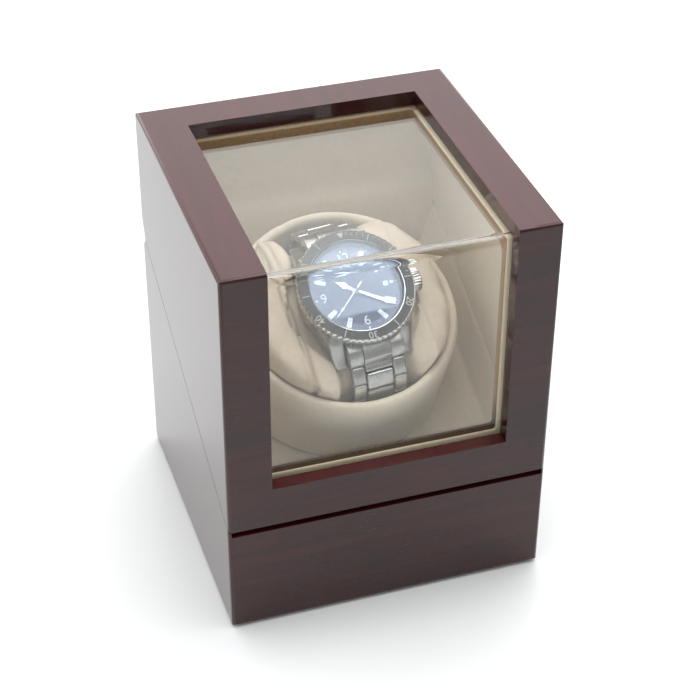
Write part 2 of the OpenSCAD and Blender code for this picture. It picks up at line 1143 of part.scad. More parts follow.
module dial_markers() {
    color("white")
        watch_frame()
            for (i = [0:11])
                rotate([0, 0, -30 * i])
                    span_box([-0.7, dial_r - 5, dial_z - 0.05], [0.7, dial_r - 1, dial_z + 0.2]);
}

// The turning bezel, with its grip notches and the recess that its dark ring fills
module watch_bezel() {
    notches = 60;
    color(steel)
        watch_frame()
            difference() {
                translate([0, 0, -bezel_h])
                    linear_extrude(bezel_h)
                        polygon([
                            for (i = [0:notches * 4 - 1])
                                (bezel_r - (i % 4 == 0 ? 0.35 : 0))
                                    * [cos(i * 90 / notches), sin(i * 90 / notches)]
                        ]);
                translate([0, 0, -bezel_h - 1])
                    cylinder(r = insert_in_r, h = bezel_h + 2);
            }
    color("#23262b")
        watch_frame()
            translate([0, 0, 0])
                ring(bezel_r - 1, insert_in_r + 0.3, 0.25);
}

module watch_crown() {
    color(steel)
        watch_frame()
            translate([0, 0, crown_z])
                rotate([0, 90, 0])
                    union() {
                        translate([0, 0, case_r + 0.5])
                            linear_extrude(4)
                                polygon([
                                    for (i = [0:71])
                                        (crown_r - (i % 3 == 0 ? 0.3 : 0)) * [cos(i * 5), sin(i * 5)]
                                ]);
                        translate([0, 0, 19.4])
                            cylinder(r = stem_r, h = case_r - 18);
                    }
}

// A hand lying on the dial: a bar with a point, and a boss round its pinion
module hand(l, w, level, boss, tail) {
    translate([0, 0, dial_z + level])
        linear_extrude(0.16) {
            polygon([[-w / 2, -tail], [w / 2, -tail], [w / 2, l * 0.82], [0, l], [-w / 2, l * 0.82]]);
            circle(r = boss);
        }
}

module hour_hand() {
    color(steel)
        watch_frame()
            rotate([0, 0, -30 * (show_hour + show_minute / 60)])
                hand(9.2, 1.9, 0.5, 1.5, 0);
}

module minute_hand() {
    color(steel)
        watch_frame()
            rotate([0, 0, -6 * show_minute])
                hand(14.2, 1.7, 0.8, 1.3, 0);
}

module seconds_hand() {
    color(steel)
        watch_frame()
            rotate([0, 0, -6 * show_second])
                hand(15.2, 0.4, 1.1, 1, 4.5);
}

// ---- bracelet ----

// Distances along the path at which each stretch ends
ends = [
    start_bend,
    start_bend + run_down,
    start_bend + run_down + bend,
    start_bend + run_down + bend + run_low,
    start_bend + run_down + 2 * bend + run_low,
    start_bend + run_down + 2 * bend + run_low + run_up
];

// Place and heading of the bracelet's middle at a distance from the lower lugs
function path_at(s) =
    s < ends[0] ? start_arc_at(start_angle - s / path_r * 180 / PI)
    : s < ends[1] ? [path_left, path_low + path_r + ends[1] - s, 0]
    : s < ends[2] ? arc_at(path_left + path_r, 180 + (s - ends[1]) / path_r * 180 / PI)
    : s < ends[3] ? [path_left + path_r + s - ends[2], path_low, 90]
    : s < ends[4] ? arc_at(path_right - path_r, 270 + (s - ends[3]) / path_r * 180 / PI)
    : s < ends[5] ? [path_right, path_low + path_r + s - ends[4], 180]
    : top_arc_at((s - ends[5]) / path_end_r * 180 / PI);
function start_arc_at(a) = [
    path_left + path_r - path_r * cos(a),
    path_low + path_r + run_down + path_r * sin(a),
    -a
];
function arc_at(v, a) = [v + path_r * cos(a), path_low + path_r + path_r * sin(a), a - 180];
function top_arc_at(a) = [
    path_right - path_end_r + path_end_r * cos(a),
    path_low + path_r + run_up + path_end_r * sin(a),
    180 + a
];

module at_link(s) {
    p = path_at(s);
    translate([0, p[0], p[1]])
        rotate([p[2], 0, 0])
            children();
}

// Rounded bar, as long as a link, with its thickness along Y and its length along Z
module link_bar(x0, x1, l, t) {
    translate([(x0 + x1) / 2, 0, 0])
        across(x1 - x0)
            rounded_rect(t, l, 0.9);
}

module link_row(centre) {
    for (i = [0:link_count - 1])
        if (i < 8 || i > 11)
            cushion_frame()
                at_link((i + 0.5) * link_pitch)
                    if (centre)
                        link_bar(-centre_link_w / 2 + 0.1, centre_link_w / 2 - 0.1, link_pitch - 0.3, link_t);
                    else
                        for (side = [0, 1])
                            mirror([side, 0, 0])
                                link_bar(
                                    centre_link_w / 2 + 0.1, bracelet_w / 2, link_pitch - 0.3, link_t - 0.4
                                );
}

// The solid pieces that fill the space between each pair of lugs
module end_link_pair() {
    low_end = [
        [18, -5], [22.8, -5.4], [25.9, -7.6], [27, -9.7], [25.2, -12.5], [22.5, -12.3], [18, -11.6]
    ];
    high_end = [
        [18, -5], [22.8, -5.4], [26.8, -8.2], [28.8, -11.4], [27.2, -14.2], [24.5, -13.2], [22, -12.2],
        [18, -11.6]
    ];
    watch_frame()
        difference() {
            union() {
                across(bracelet_w)
                    polygon(high_end);
                mirror([0, 1, 0])
                    across(bracelet_w)
                        polygon(low_end);
            }
            translate([0, 0, -20])
                cylinder(r = case_r + run_gap, h = 20);
        }
}

module bracelet_outer_links() {
    color(steel) {
        link_row(false);
        end_link_pair();
    }
}

module bracelet_centre_links() {
    color("#c8cbce")
        link_row(true);
}

module bracelet_clasp() {
    color(steel)
        cushion_frame()
            at_link(link_count / 2 * link_pitch)
                link_bar(-bracelet_w / 2, bracelet_w / 2, 3.9 * link_pitch - 3, link_t - 0.6);
}

base_case();
bottom_board();
felt_pad();
bottom_screws();
floor_board();
floor_cleats();
well_tray();
rear_cove();
hinge_base_leaves();
hinge_pins();
hinge_base_screws();
drive_plate();
plate_screws();
spindle_bush();
gearbox_housing();
gearbox_screws();
motor_can();
drive_belt();
control_board();
board_standoffs();
control_tray();
rocker_housing();
selector_switches();
dc_jack();
wiring();
power_rocker();
turns_knob();
direction_knob();
lid_case();
lid_window();
window_trim();
lid_liner_left();
lid_liner_right();
lid_liner_back();
hinge_lid_leaves();
hinge_lid_screws();
output_shaft();
motor_pulley();
drum_shell();
drum_cover();
drum_rim();
drum_lining();
drum_spindle();
drum_pulley();
spindle_clip();
pillow_core();
pillow_end_pads();
watch_case();
case_back();
watch_crystal();
watch_dial();
dial_markers();
bracelet_outer_links();
bracelet_centre_links();
bracelet_clasp();
watch_bezel();
watch_crown();
hour_hand();
minute_hand();
seconds_hand();
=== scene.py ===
"""Looks of the watch winder box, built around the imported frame.

Shaders, bevels, the lamp and the camera are in metres. Points of the pieces are in millimetres, in the box's
own frame or in the frame of the drum, the cushion or the watch, and a matrix or MM takes them to metres.
"""
import json
import math

import bmesh
import bpy
from mathutils import Matrix, Vector, noise


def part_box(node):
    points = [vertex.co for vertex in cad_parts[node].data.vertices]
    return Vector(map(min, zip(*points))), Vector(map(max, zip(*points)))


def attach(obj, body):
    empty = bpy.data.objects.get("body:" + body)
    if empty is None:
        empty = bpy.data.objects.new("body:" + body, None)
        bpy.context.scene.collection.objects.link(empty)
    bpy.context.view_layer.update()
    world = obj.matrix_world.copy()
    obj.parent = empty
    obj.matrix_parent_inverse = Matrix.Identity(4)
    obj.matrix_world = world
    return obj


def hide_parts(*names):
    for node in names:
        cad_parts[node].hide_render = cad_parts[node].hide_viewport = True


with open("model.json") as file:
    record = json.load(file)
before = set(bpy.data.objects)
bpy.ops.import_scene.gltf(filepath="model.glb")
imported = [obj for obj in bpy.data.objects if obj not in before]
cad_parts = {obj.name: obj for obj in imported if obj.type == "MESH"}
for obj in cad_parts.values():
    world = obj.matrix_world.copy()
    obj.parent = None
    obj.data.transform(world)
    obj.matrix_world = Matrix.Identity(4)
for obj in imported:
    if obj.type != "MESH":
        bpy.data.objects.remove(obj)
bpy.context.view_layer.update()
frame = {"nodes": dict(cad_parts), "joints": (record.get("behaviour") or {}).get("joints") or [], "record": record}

MM = 0.001
NODES = frame["nodes"]
JOINTS = {j["name"]: j for j in frame["joints"]}
SLOTS = {s["node"]: s["material_slot"] for s in frame["record"]["subparts"]}
CASE_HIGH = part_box("lid_case")[1]


def joint_frame(name):
    """Local millimetres at a joint: Z along its axis, X to the right, Y up the slope."""
    z = Vector(JOINTS[name]["axis"])
    x = Vector((1, 0, 0))
    y = z.cross(x)
    turn = Matrix((x, y, z)).transposed().to_4x4()
    return Matrix.Translation(Vector(JOINTS[name]["pos_m"])) @ turn @ Matrix.Scale(MM, 4)


DRUM = joint_frame("drum_spin")
CUSHION_TURN, WATCH_TILT = math.radians(5.3), math.radians(6)
WATCH_SPOT = (0, -4, 45.4)
WATCH_WIDEN = (1.02, 1.02, 1, 1)
CUSHION = DRUM @ Matrix.Rotation(CUSHION_TURN, 4, "Z")
WATCH = CUSHION @ Matrix.Translation(WATCH_SPOT) @ Matrix.Rotation(WATCH_TILT, 4, "X")
WATCH = WATCH @ Matrix.Diagonal(WATCH_WIDEN)


# ---- shader helpers ----

def shader(name):
    mat = bpy.data.materials.new(name)
    mat.use_nodes = True
    mat.node_tree.nodes.clear()
    return mat, mat.node_tree


def add(tree, kind, props=None, **inputs):
    """Adds a shader node; an underscore in an input's name stands for a space."""
    node = tree.nodes.new("ShaderNode" + kind)
    for key, value in (props or {}).items():
        setattr(node, key, value)
    for key, value in inputs.items():
        socket = node.inputs[key.replace("_", " ")]
        if isinstance(value, bpy.types.NodeSocket):
            tree.links.new(value, socket)
        else:
            socket.default_value = value
    return node


def rgb(*c):
    return (c[0], c[1], c[2], 1.0)


def ramp(tree, fac, stops):
    node = add(tree, "ValToRGB", Fac=fac)
    marks = node.color_ramp.elements
    while len(marks) < len(stops):
        marks.new(0.5)
    for mark, (place, colour) in zip(marks, stops):
        mark.position = place
        mark.color = rgb(*colour) if hasattr(colour, "__len__") else rgb(colour, colour, colour)
    return node.outputs[0]


def place(tree, scale=(1, 1, 1), turn=(0, 0, 0)):
    """Object coordinates, stretched by scale, so that a texture keeps its real size."""
    coords = add(tree, "TexCoord").outputs["Object"]
    mapped = add(tree, "Mapping", Vector=coords, Scale=scale, Rotation=turn)
    return mapped.outputs[0]


def clouds(tree, scale, detail=3.0, rough=0.55, vector=None, distort=0.0):
    vector = vector if vector is not None else place(tree)
    return add(
        tree, "TexNoise", Vector=vector, Scale=scale, Detail=detail, Roughness=rough, Distortion=distort
    ).outputs[0]


def bump(tree, height, strength, distance):
    return add(tree, "Bump", Height=height, Strength=strength, Distance=distance).outputs[0]


def maths(tree, op, a, b=0.0, c=0.0):
    node = tree.nodes.new("ShaderNodeMath")
    node.operation = op
    for i, value in enumerate((a, b, c)):
        if isinstance(value, bpy.types.NodeSocket):
            tree.links.new(value, node.inputs[i])
        else:
            node.inputs[i].default_value = value
    return node.outputs[0]


def blend_colour(tree, fac, a, b, mode="MIX"):
    return add(tree, "MixRGB", {"blend_type": mode}, Fac=fac, Color1=a, Color2=b).outputs[0]


def surface(tree, shader_node):
    out = add(tree, "OutputMaterial")
    tree.links.new(shader_node.outputs[0], out.inputs[0])


# ---- materials ----

def lacquer():
    """Dark mahogany veneer under a thick polished lacquer, with its grain along each member."""
    mat, t = shader("lacquer")
    normal = add(t, "SeparateXYZ", Vector=add(t, "TexCoord").outputs["Normal"])
    is_front = maths(t, "GREATER_THAN", maths(t, "ABSOLUTE", normal.outputs[1]), 0.7)
    along_y = place(t, (110, 9, 110))
    along_x = place(t, (9, 110, 110))
    vector = add(t, "MixRGB", Fac=is_front, Color1=along_y, Color2=along_x).outputs[0]
    streaks = clouds(t, 1.0, 6.0, 0.6, vector, 0.6)
    pores = clouds(t, 9.0, 2.0, 0.5, vector)
    patches = clouds(t, 22.0, 2.0, 0.5)
    tone = maths(t, "ADD", maths(t, "MULTIPLY", streaks, 0.7), maths(t, "MULTIPLY", patches, 0.3))
    dark, middle, light = (0.018, 0.0024, 0.0026), (0.031, 0.0042, 0.0048), (0.050, 0.0072, 0.0080)
    wood = ramp(t, tone, [(0.34, dark), (0.52, middle), (0.70, light)])
    pore_share = maths(t, "MULTIPLY", ramp(t, pores, [(0.55, 0.0), (0.75, 1.0)]), 0.22)
    wood = blend_colour(t, pore_share, wood, rgb(0.008, 0.001, 0.001))
    # painted light: the top faces get extra red added to their colour, standing in for how the light falls on the
    # lacquered top
    painted_top_light_mask = maths(t, "GREATER_THAN", normal.outputs[2], 0.7)
    wood = blend_colour(t, painted_top_light_mask, wood, rgb(0.028, 0.0025, 0.004), "ADD")
    peel = bump(t, clouds(t, 120.0, 1.0), 0.008, 0.0002)
    surface(t, add(
        t, "BsdfPrincipled", Base_Color=wood, Roughness=0.5, Specular_IOR_Level=0.04,
        Coat_Weight=1.0, Coat_Roughness=0.015, Coat_IOR=1.49, Coat_Normal=peel
    ))
    return mat


def suede(name, light, dark, seams=False):
    """Brushed microsuede: soft nap that catches light at its edges, with shaded brush marks."""
    mat, t = shader(name)
    brushed = clouds(t, 55.0, 4.0, 0.6, place(t, (1.0, 0.45, 1.0)), 0.8)
    mottled = clouds(t, 520.0, 3.0, 0.65)
    fibre = clouds(t, 2600.0, 2.0, 0.7)
    tone = maths(t, "ADD", maths(t, "MULTIPLY", brushed, 0.5), maths(t, "MULTIPLY", mottled, 0.5))
    colour = ramp(t, tone, [(0.34, dark), (0.66, light)])
    if seams:
        # painted shade: along the cushion's seam lines the colour is darkened, standing in for the shade that
        # falls in the seam grooves
        seam_shade = add(t, "Attribute", {"attribute_name": "seam"}).outputs["Fac"]
        colour = blend_colour(t, maths(t, "MULTIPLY", seam_shade, 0.5), colour, rgb(0.20, 0.13, 0.07))
    height = maths(t, "ADD", fibre, maths(t, "MULTIPLY", mottled, 1.4))
    surface(t, add(
        t, "BsdfPrincipled", Base_Color=colour, Roughness=0.95, Specular_IOR_Level=0.12,
        Sheen_Weight=0.35, Sheen_Roughness=0.45, Sheen_Tint=rgb(1.0, 0.93, 0.82),
        Normal=bump(t, height, 0.3, 0.00018)
    ))
    return mat


def clear(name, tint, ior):
    """Clear sheet: it bends what is seen through it, and lets light in without a shadow."""
    mat, t = shader(name)
    glass = add(t, "BsdfGlass", Color=tint, Roughness=0.0, IOR=ior)
    straight = add(t, "BsdfTransparent", Color=tint)
    path = add(t, "LightPath")
    soft = maths(t, "MAXIMUM", path.outputs["Is Shadow Ray"], path.outputs["Is Diffuse Ray"])
    mixed = add(t, "MixShader", Fac=soft)
    t.links.new(glass.outputs[0], mixed.inputs[1])
    t.links.new(straight.outputs[0], mixed.inputs[2])
    surface(t, mixed)
    return mat


def metal(name, colour, rough, brush=None, wear=0.04):
    """Metal with fine brush lines along one axis, or a plain polish with faint smudges."""
    mat, t = shader(name)
    smudge = clouds(t, 140.0, 3.0)
    roughness = maths(t, "ADD", maths(t, "MULTIPLY", smudge, wear * 2), rough - wear)
    props = dict(Base_Color=rgb(*colour), Metallic=1.0, Roughness=roughness)
    if brush:
        lines = clouds(t, 1.0, 2.0, 0.6, place(t, brush))
        props["Normal"] = bump(t, lines, 0.16, 0.00003)
        props["Roughness"] = maths(t, "ADD", roughness, maths(t, "MULTIPLY", lines, 0.12))
    else:
        props["Normal"] = bump(t, clouds(t, 900.0, 2.0), 0.03, 0.00003)
    surface(t, add(t, "BsdfPrincipled", **props))
    return mat


def plastic(name, colour, rough, grain=1.0, coat=0.0):
    """Moulded plastic with a fine spark-eroded grain."""
    mat, t = shader(name)
    speck = clouds(t, 1800.0, 2.0)
    tone = ramp(t, clouds(t, 90.0, 2.0), [(0.3, [c * 0.82 for c in colour]), (0.7, colour)])
    roughness = maths(t, "ADD", maths(t, "MULTIPLY", speck, 0.12), rough - 0.06)
    surface(t, add(
        t, "BsdfPrincipled", Base_Color=tone, Roughness=roughness,
        Coat_Weight=coat, Coat_Roughness=0.1, Normal=bump(t, speck, 0.22 * grain, 0.00006)
    ))
    return mat


def trim_fabric():
    """Window trim: one fabric, pale on the face behind the pane, with painted shade making the deep inner sides
    brown, the far bar mostly brown and the bottom bar darker still.
    """
    mat, t = shader("trim_fabric")
    spot = add(t, "SeparateXYZ", Vector=add(t, "TexCoord").outputs["Object"])
    front_face_y, top_face_z, far_bar_y = -0.0544, 0.1514, 0.0435
    # painted light: the fabric is pale where lit on the face behind the pane and brown painted shade on the deep
    # inner sides
    front = maths(t, "LESS_THAN", spot.outputs[1], front_face_y)
    top = maths(t, "GREATER_THAN", spot.outputs[2], top_face_z)
    face = maths(t, "MAXIMUM", front, top)
    # painted shade: the far bar of the top opening is turned mostly brown
    far = maths(t, "GREATER_THAN", spot.outputs[1], far_bar_y)
    face = maths(t, "SUBTRACT", face, maths(t, "MULTIPLY", far, 0.65))
    fibre = clouds(t, 1500.0, 3.0, 0.65)
    pale = ramp(t, fibre, [(0.3, (0.66, 0.55, 0.39)), (0.7, (0.78, 0.67, 0.50))])
    brown = ramp(t, fibre, [(0.3, (0.27, 0.165, 0.08)), (0.7, (0.38, 0.245, 0.13))])
    # painted shade: the brown is darkened further on the bottom bar
    low = ramp(t, maths(t, "MULTIPLY", spot.outputs[2], 10.0), [(0.68, 1.0), (0.80, 0.0)])
    brown = blend_colour(t, low, brown, rgb(0.055, 0.031, 0.016))
    colour = blend_colour(t, face, brown, pale)
    surface(t, add(
        t, "BsdfPrincipled", Base_Color=colour, Roughness=0.9, Specular_IOR_Level=0.15, Sheen_Weight=0.15,
        Normal=bump(t, fibre, 0.4, 0.0002)
    ))
    return mat


def board(name, light, dark, scale=900.0):
    """Pressed fibreboard: short tangled fibres and darker flecks."""
    mat, t = shader(name)
    fibre = clouds(t, scale, 5.0, 0.7)
    colour = ramp(t, fibre, [(0.35, dark), (0.62, light)])
    relief = bump(t, fibre, 0.4, 0.0002)
    surface(t, add(t, "BsdfPrincipled", Base_Color=colour, Roughness=0.85, Normal=relief))
    return mat


def paint(name, colour, rough, coat=0.0, metallic=0.0):
    mat, t = shader(name)
    fine = clouds(t, 3000.0, 2.0)
    tone = ramp(t, clouds(t, 300.0, 2.0), [(0.3, [c * 0.9 for c in colour]), (0.7, colour)])
    surface(t, add(
        t, "BsdfPrincipled", Base_Color=tone, Roughness=rough, Metallic=metallic, Coat_Weight=coat,
        Coat_Roughness=0.03, Normal=bump(t, fine, 0.05, 0.00002)
    ))
    return mat


# the cushion's suede paints shade along its seam lines
CUSHION_SUEDE = suede("cushion_suede", (0.73, 0.625, 0.50), (0.65, 0.54, 0.42), True)
MATERIALS = {
    "lacquer": lacquer(),
    "bare_board": board("bare_board", (0.46, 0.33, 0.20), (0.30, 0.20, 0.12)),
    "felt": board("felt", (0.035, 0.035, 0.037), (0.012, 0.012, 0.013), 2200.0),
    "suede": suede("suede", (0.82, 0.73, 0.585), (0.74, 0.645, 0.50)),
    "trim_fabric": trim_fabric(),
    "pane": clear("pane", rgb(0.985, 0.992, 0.990), 1.49),
    "brass": metal("brass", (0.83, 0.62, 0.28), 0.22),
    "steel": metal("steel", (0.62, 0.62, 0.62), 0.24, (40, 4000, 4000)),
    "zinc_steel": metal("zinc_steel", (0.55, 0.57, 0.60), 0.34),
    "black_plastic": plastic("black_plastic", (0.022, 0.022, 0.024), 0.48),
    "white_plastic": plastic("white_plastic", (0.72, 0.70, 0.65), 0.5),
    "red_plastic": plastic("red_plastic", (0.38, 0.012, 0.012), 0.3, 0.5, 0.4),
    "board": plastic("board", (0.018, 0.12, 0.045), 0.35, 0.6, 0.5),
    "belt_rubber": plastic("belt_rubber", (0.018, 0.018, 0.018), 0.7),
    "crystal": clear("crystal", rgb(0.96, 0.98, 1.0), 1.6),
    "dial": paint("dial", (0.012, 0.045, 0.20), 0.35, 0.3, 0.3),
    "luminous": paint("luminous", (0.84, 0.88, 0.86), 0.55),
    "card": board("card", (0.60, 0.52, 0.40), (0.50, 0.43, 0.33)),
}


def finish_node(node, bevel=0.0):
    """Gives a CAD node its material and, with modifiers, softly broken edges."""
    obj = NODES[node]
    obj.data.materials.clear()
    obj.data.materials.append(MATERIALS[SLOTS[node]])
    if bevel:
        weld = obj.modifiers.new("weld", "WELD")
        weld.merge_threshold = 1e-6
        flat = obj.modifiers.new("flat", "DECIMATE")
        flat.decimate_type = "DISSOLVE"
        flat.angle_limit = math.radians(0.4)
        soft = obj.modifiers.new("soft", "BEVEL")
        soft.width = bevel
        soft.segments = 4
        soft.limit_method = "ANGLE"
        soft.angle_limit = math.radians(38)
        soft.harden_normals = True
        soft.use_clamp_overlap = True


CASE_BEVEL = 0.0007
for node_name in NODES:
    finish_node(node_name, CASE_BEVEL if node_name in ("base_case", "lid_case") else 0.0)


# ---- mesh helpers ----

def link_object(name, mesh):
    obj = bpy.data.objects.new(name, mesh)
    bpy.context.scene.collection.objects.link(obj)
    return obj


def shade(obj, sharp):
    """Smooth shading, kept sharp across edges that turn by more than the given angle."""
    bm = bmesh.new()
    bm.from_mesh(obj.data)
    for face in bm.faces:
        face.smooth = True
    for edge in bm.edges:
        edge.smooth = len(edge.link_faces) == 2 and edge.calc_face_angle(0.0) < math.radians(sharp)
    bm.to_mesh(obj.data)
    bm.free()


def dress(obj, material, body, replaced=()):
    obj.data.materials.clear()
    obj.data.materials.append(material if not isinstance(material, str) else MATERIALS[material])
    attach(obj, body)
    if replaced:
        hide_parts(*replaced)
    return obj


def piece(name, parts, material, body, replaced=(), sharp=35):
    """Joins parts, each a list of points and a list of faces, into one object on a body."""
    points, faces = [], []
    for part_points, part_faces in parts:
        start = len(points)
        points += [tuple(p) for p in part_points]
        faces += [[i + start for i in face] for face in part_faces]
    mesh = bpy.data.meshes.new(name)
    mesh.from_pydata(points, [], faces)
    bm = bmesh.new()
    bm.from_mesh(mesh)
    bmesh.ops.remove_doubles(bm, verts=bm.verts, dist=1e-7)
    bmesh.ops.recalc_face_normals(bm, faces=bm.faces)
    bm.to_mesh(mesh)
    bm.free()
    obj = link_object(name, mesh)
    shade(obj, sharp)
    return dress(obj, material, body, replaced)


def lathe(profile, steps, matrix, closed=True, radius=None):
    """Turns a profile of radius and height round local Z; radius(r, a) may vary it with the angle."""
    points = []
    for i in range(steps):
        a = 2 * math.pi * i / steps
        for r, z in profile:
            r = radius(r, a) if radius else r
            points.append(matrix @ Vector((r * math.cos(a), r * math.sin(a), z)))
    n = len(profile)
    faces = []
    for i in range(steps):
        j = (i + 1) % steps
        for k in range(n if closed else n - 1):
            m = (k + 1) % n
            faces.append([i * n + k, j * n + k, j * n + m, i * n + m])
    return points, faces


def from_bmesh(bm, matrix):
    bm.verts.index_update()
    points = [matrix @ v.co for v in bm.verts]
    faces = [[v.index for v in f.verts] for f in bm.faces]
    bm.free()
    return points, faces


def rounded_box(size, soft, matrix, segments=2):
    bm = bmesh.new()
    bmesh.ops.create_cube(bm, size=1)
    for v in bm.verts:
        v.co = Vector(c * s for c, s in zip(v.co, size))
    if soft:
        bmesh.ops.bevel(bm, geom=bm.edges[:], offset=soft, segments=segments, profile=0.5, affect="EDGES")
    return from_bmesh(bm, matrix)


def plate(outline, low, high, matrix, soft=0.0):
    """A flat plate with the given outline and a narrow bevel round its top."""
    bm = bmesh.new()
    n = len(outline)
    bottom = [bm.verts.new((x, y, low)) for x, y in outline]
    top = [bm.verts.new((x, y, high)) for x, y in outline]
    bm.faces.new(bottom[::-1])
    bm.faces.new(top)
    for i in range(n):
        j = (i + 1) % n
        bm.faces.new([bottom[i], bottom[j], top[j], top[i]])
    if soft:
        rim = [e for e in bm.edges if all(v.co.z > high - 1e-9 for v in e.verts)]
        bmesh.ops.bevel(bm, geom=rim, offset=soft, segments=1, affect="EDGES")
    return from_bmesh(bm, matrix)


def glyphs(characters, size, matrix, depth, weight=0.0):
    """Plain numerals as a thin solid, centred on the local origin."""
    curve = bpy.data.curves.new("glyph", "FONT")
    curve.body = characters
    curve.size = size
    curve.align_x, curve.align_y = "CENTER", "CENTER"
    curve.extrude = depth / 2
    curve.offset = weight
    curve.resolution_u = 4
    obj = link_object("glyph", curve)
    bpy.context.view_layer.update()
    mesh = obj.to_mesh()
    points = [matrix @ v.co for v in mesh.vertices]
    faces = [list(p.vertices) for p in mesh.polygons]
    obj.to_mesh_clear()
    bpy.data.objects.remove(obj)
    bpy.data.curves.remove(curve)
    return points, faces


def about_z(degrees):
    return Matrix.Rotation(math.radians(degrees), 4, "Z")


def move(x=0.0, y=0.0, z=0.0):
    return Matrix.Translation((x, y, z))


def fade(x, start, end):
    t = min(1.0, max(0.0, (x - start) / (end - start)))
    return t * t * (3 - 2 * t)


# ---- watch ----

DIAL_Z, CASE_LOW_Z, CROWN_Z = -3.9, -12.0, -7.8
TRACK_R = 16.7


def steel_tone(name, colour, rough, lines=None):
    return metal(name, colour, rough, lines, 0.03)


POLISHED = steel_tone("polished_steel", (0.62, 0.62, 0.62), 0.09)
BRUSHED = steel_tone("brushed_steel", (0.43, 0.427, 0.41), 0.23, (15000, 500, 500))
CERAMIC = paint("ceramic_ring", (0.011, 0.012, 0.013), 0.45, 0.12)
DIAL_PAINT = paint("dial_lacquer", (0.006, 0.014, 0.052), 0.32, 0.6, 0.35)
LUMINOUS = paint("luminous_paint", (0.86, 0.90, 0.88), 0.55)
SILVER_PRINT = paint("silver_print", (0.42, 0.43, 0.43), 0.6)


GRIP_DEPTH = 0.42


def coin_edge(r, a):
    """Sixty rounded grips round the outside of the bezel."""
    if r < 21.9:
        return r
    return r - GRIP_DEPTH * (0.5 + 0.5 * math.cos(60 * a)) ** 1.5


def rectangle(half, low, high):
    """Outline of an upright bar, from low to high and half as wide to each side."""
    return [(-half, low), (half, low), (half, high), (-half, high)]


def watch_bezel():
    ring_profile = [
        (17.84, -3.5), (17.84, 0.28), (17.90, 0.36), (18.08, 0.40), (18.16, 0.34), (18.16, 0.1),
        (21.62, -0.14), (21.62, 0.10), (21.72, 0.16), (21.92, 0.08), (22.24, -0.28), (22.46, -0.62),
        (22.50, -1.0), (22.50, -2.5), (22.36, -2.95), (21.95, -3.25), (21.40, -3.5)
    ]
    steps = 480
    ring = lathe(ring_profile, steps, WATCH, True, coin_edge)
    piece("bezel_ring", [ring], POLISHED, "bezel", ["watch_bezel"], 28)
    insert = [(18.22, 0.05), (18.22, 0.34), (18.36, 0.40), (21.46, 0.10), (21.58, 0.02), (21.58, -0.1)]
    piece("bezel_insert", [lathe(insert, 180, WATCH)], CERAMIC, "bezel", (), 25)
    slope = Matrix.Rotation(math.radians(5.5), 4, "X")
    marks = []
    for minute in range(60):
        turn = WATCH @ about_z(-6 * minute - 3.3) @ move(0, 19.95, 0.25) @ slope.inverted()
        if minute == 0:
            marks.append(plate([(-1.3, 1.2), (0, -1.2), (1.3, 1.2)], -0.05, 0.05, turn))
        elif minute % 10 == 0:
            marks.append(glyphs(str(minute), 3.7, turn, 0.12, 0.02))
        elif minute % 5 == 0:
            marks.append(plate(rectangle(0.17, -1.45, 1.45), -0.05, 0.05, turn))
        elif minute < 15:
            marks.append(plate(rectangle(0.09, 0.0, 1.3), -0.05, 0.05, turn))
    piece("bezel_marks", marks, SILVER_PRINT, "bezel", ())


def watch_dial():
    disc = [(0.001, -4.35), (17.4, -4.35), (17.4, DIAL_Z), (0.001, DIAL_Z)]
    piece("dial_plate", [lathe(disc, 96, WATCH, False)], DIAL_PAINT, "cushion", ["watch_dial"])
    wall = [(16.9, -3.88), (17.72, -1.25), (17.78, -1.25), (17.78, -3.88)]
    piece("dial_surround", [lathe(wall, 96, WATCH)], CERAMIC, "cushion", (), 25)
    frames, plots, prints = [], [], []
    for minute in range(60):
        turn = WATCH @ about_z(-6 * minute) @ move(0, 0, DIAL_Z)
        length = 0.75 if minute % 5 else 1.1
        half = 0.07 if minute % 5 else 0.13
        prints.append(plate(rectangle(half, TRACK_R - length, TRACK_R), 0.0, 0.03, turn))
    for hour in range(1, 13):
        turn = WATCH @ about_z(-30 * hour) @ move(0, 0, DIAL_Z)
        if hour in (6, 9, 12):
            stand = WATCH @ about_z(-30 * hour) @ move(0, 12.5, DIAL_Z) @ about_z(30 * hour)
            plots.append(glyphs(str(hour), 5.2, stand @ move(0, 0, 0.14), 0.28, 0.03))
            plots.append(plate(rectangle(0.35, 15.0, 15.7), 0.0, 0.12, turn))
        elif hour == 3:
            frames.append(plate(rectangle(0.95, 11.2, 13.2), 0.0, 0.10, turn, 0.05))
            plots.append(plate(rectangle(0.8, 11.35, 13.05), 0.10, 0.12, turn))
            plots.append(plate([(-0.5, 13.8), (0.5, 13.8), (0.6, 15.2), (-0.6, 15.2)], 0.0, 0.25, turn))
            number = WATCH @ move(12.2, 0, DIAL_Z + 0.13)
            piece("date_number", [glyphs("16", 1.35, number, 0.03)], CERAMIC, "cushion", ())
        else:
            bar = [(-0.58, 11.6), (0.58, 11.6), (0.80, 15.2), (-0.80, 15.2)]
            rim = [(-0.74, 11.4), (0.74, 11.4), (0.96, 15.4), (-0.96, 15.4)]
            frames.append(plate(rim, 0.0, 0.24, turn, 0.08))
            plots.append(plate(bar, 0.1, 0.30, turn))
    piece("marker_frames", frames, POLISHED, "cushion", ())
    piece("marker_plots", plots, LUMINOUS, "cushion", ["dial_markers"])
    piece("minute_track", prints, SILVER_PRINT, "cushion", ())


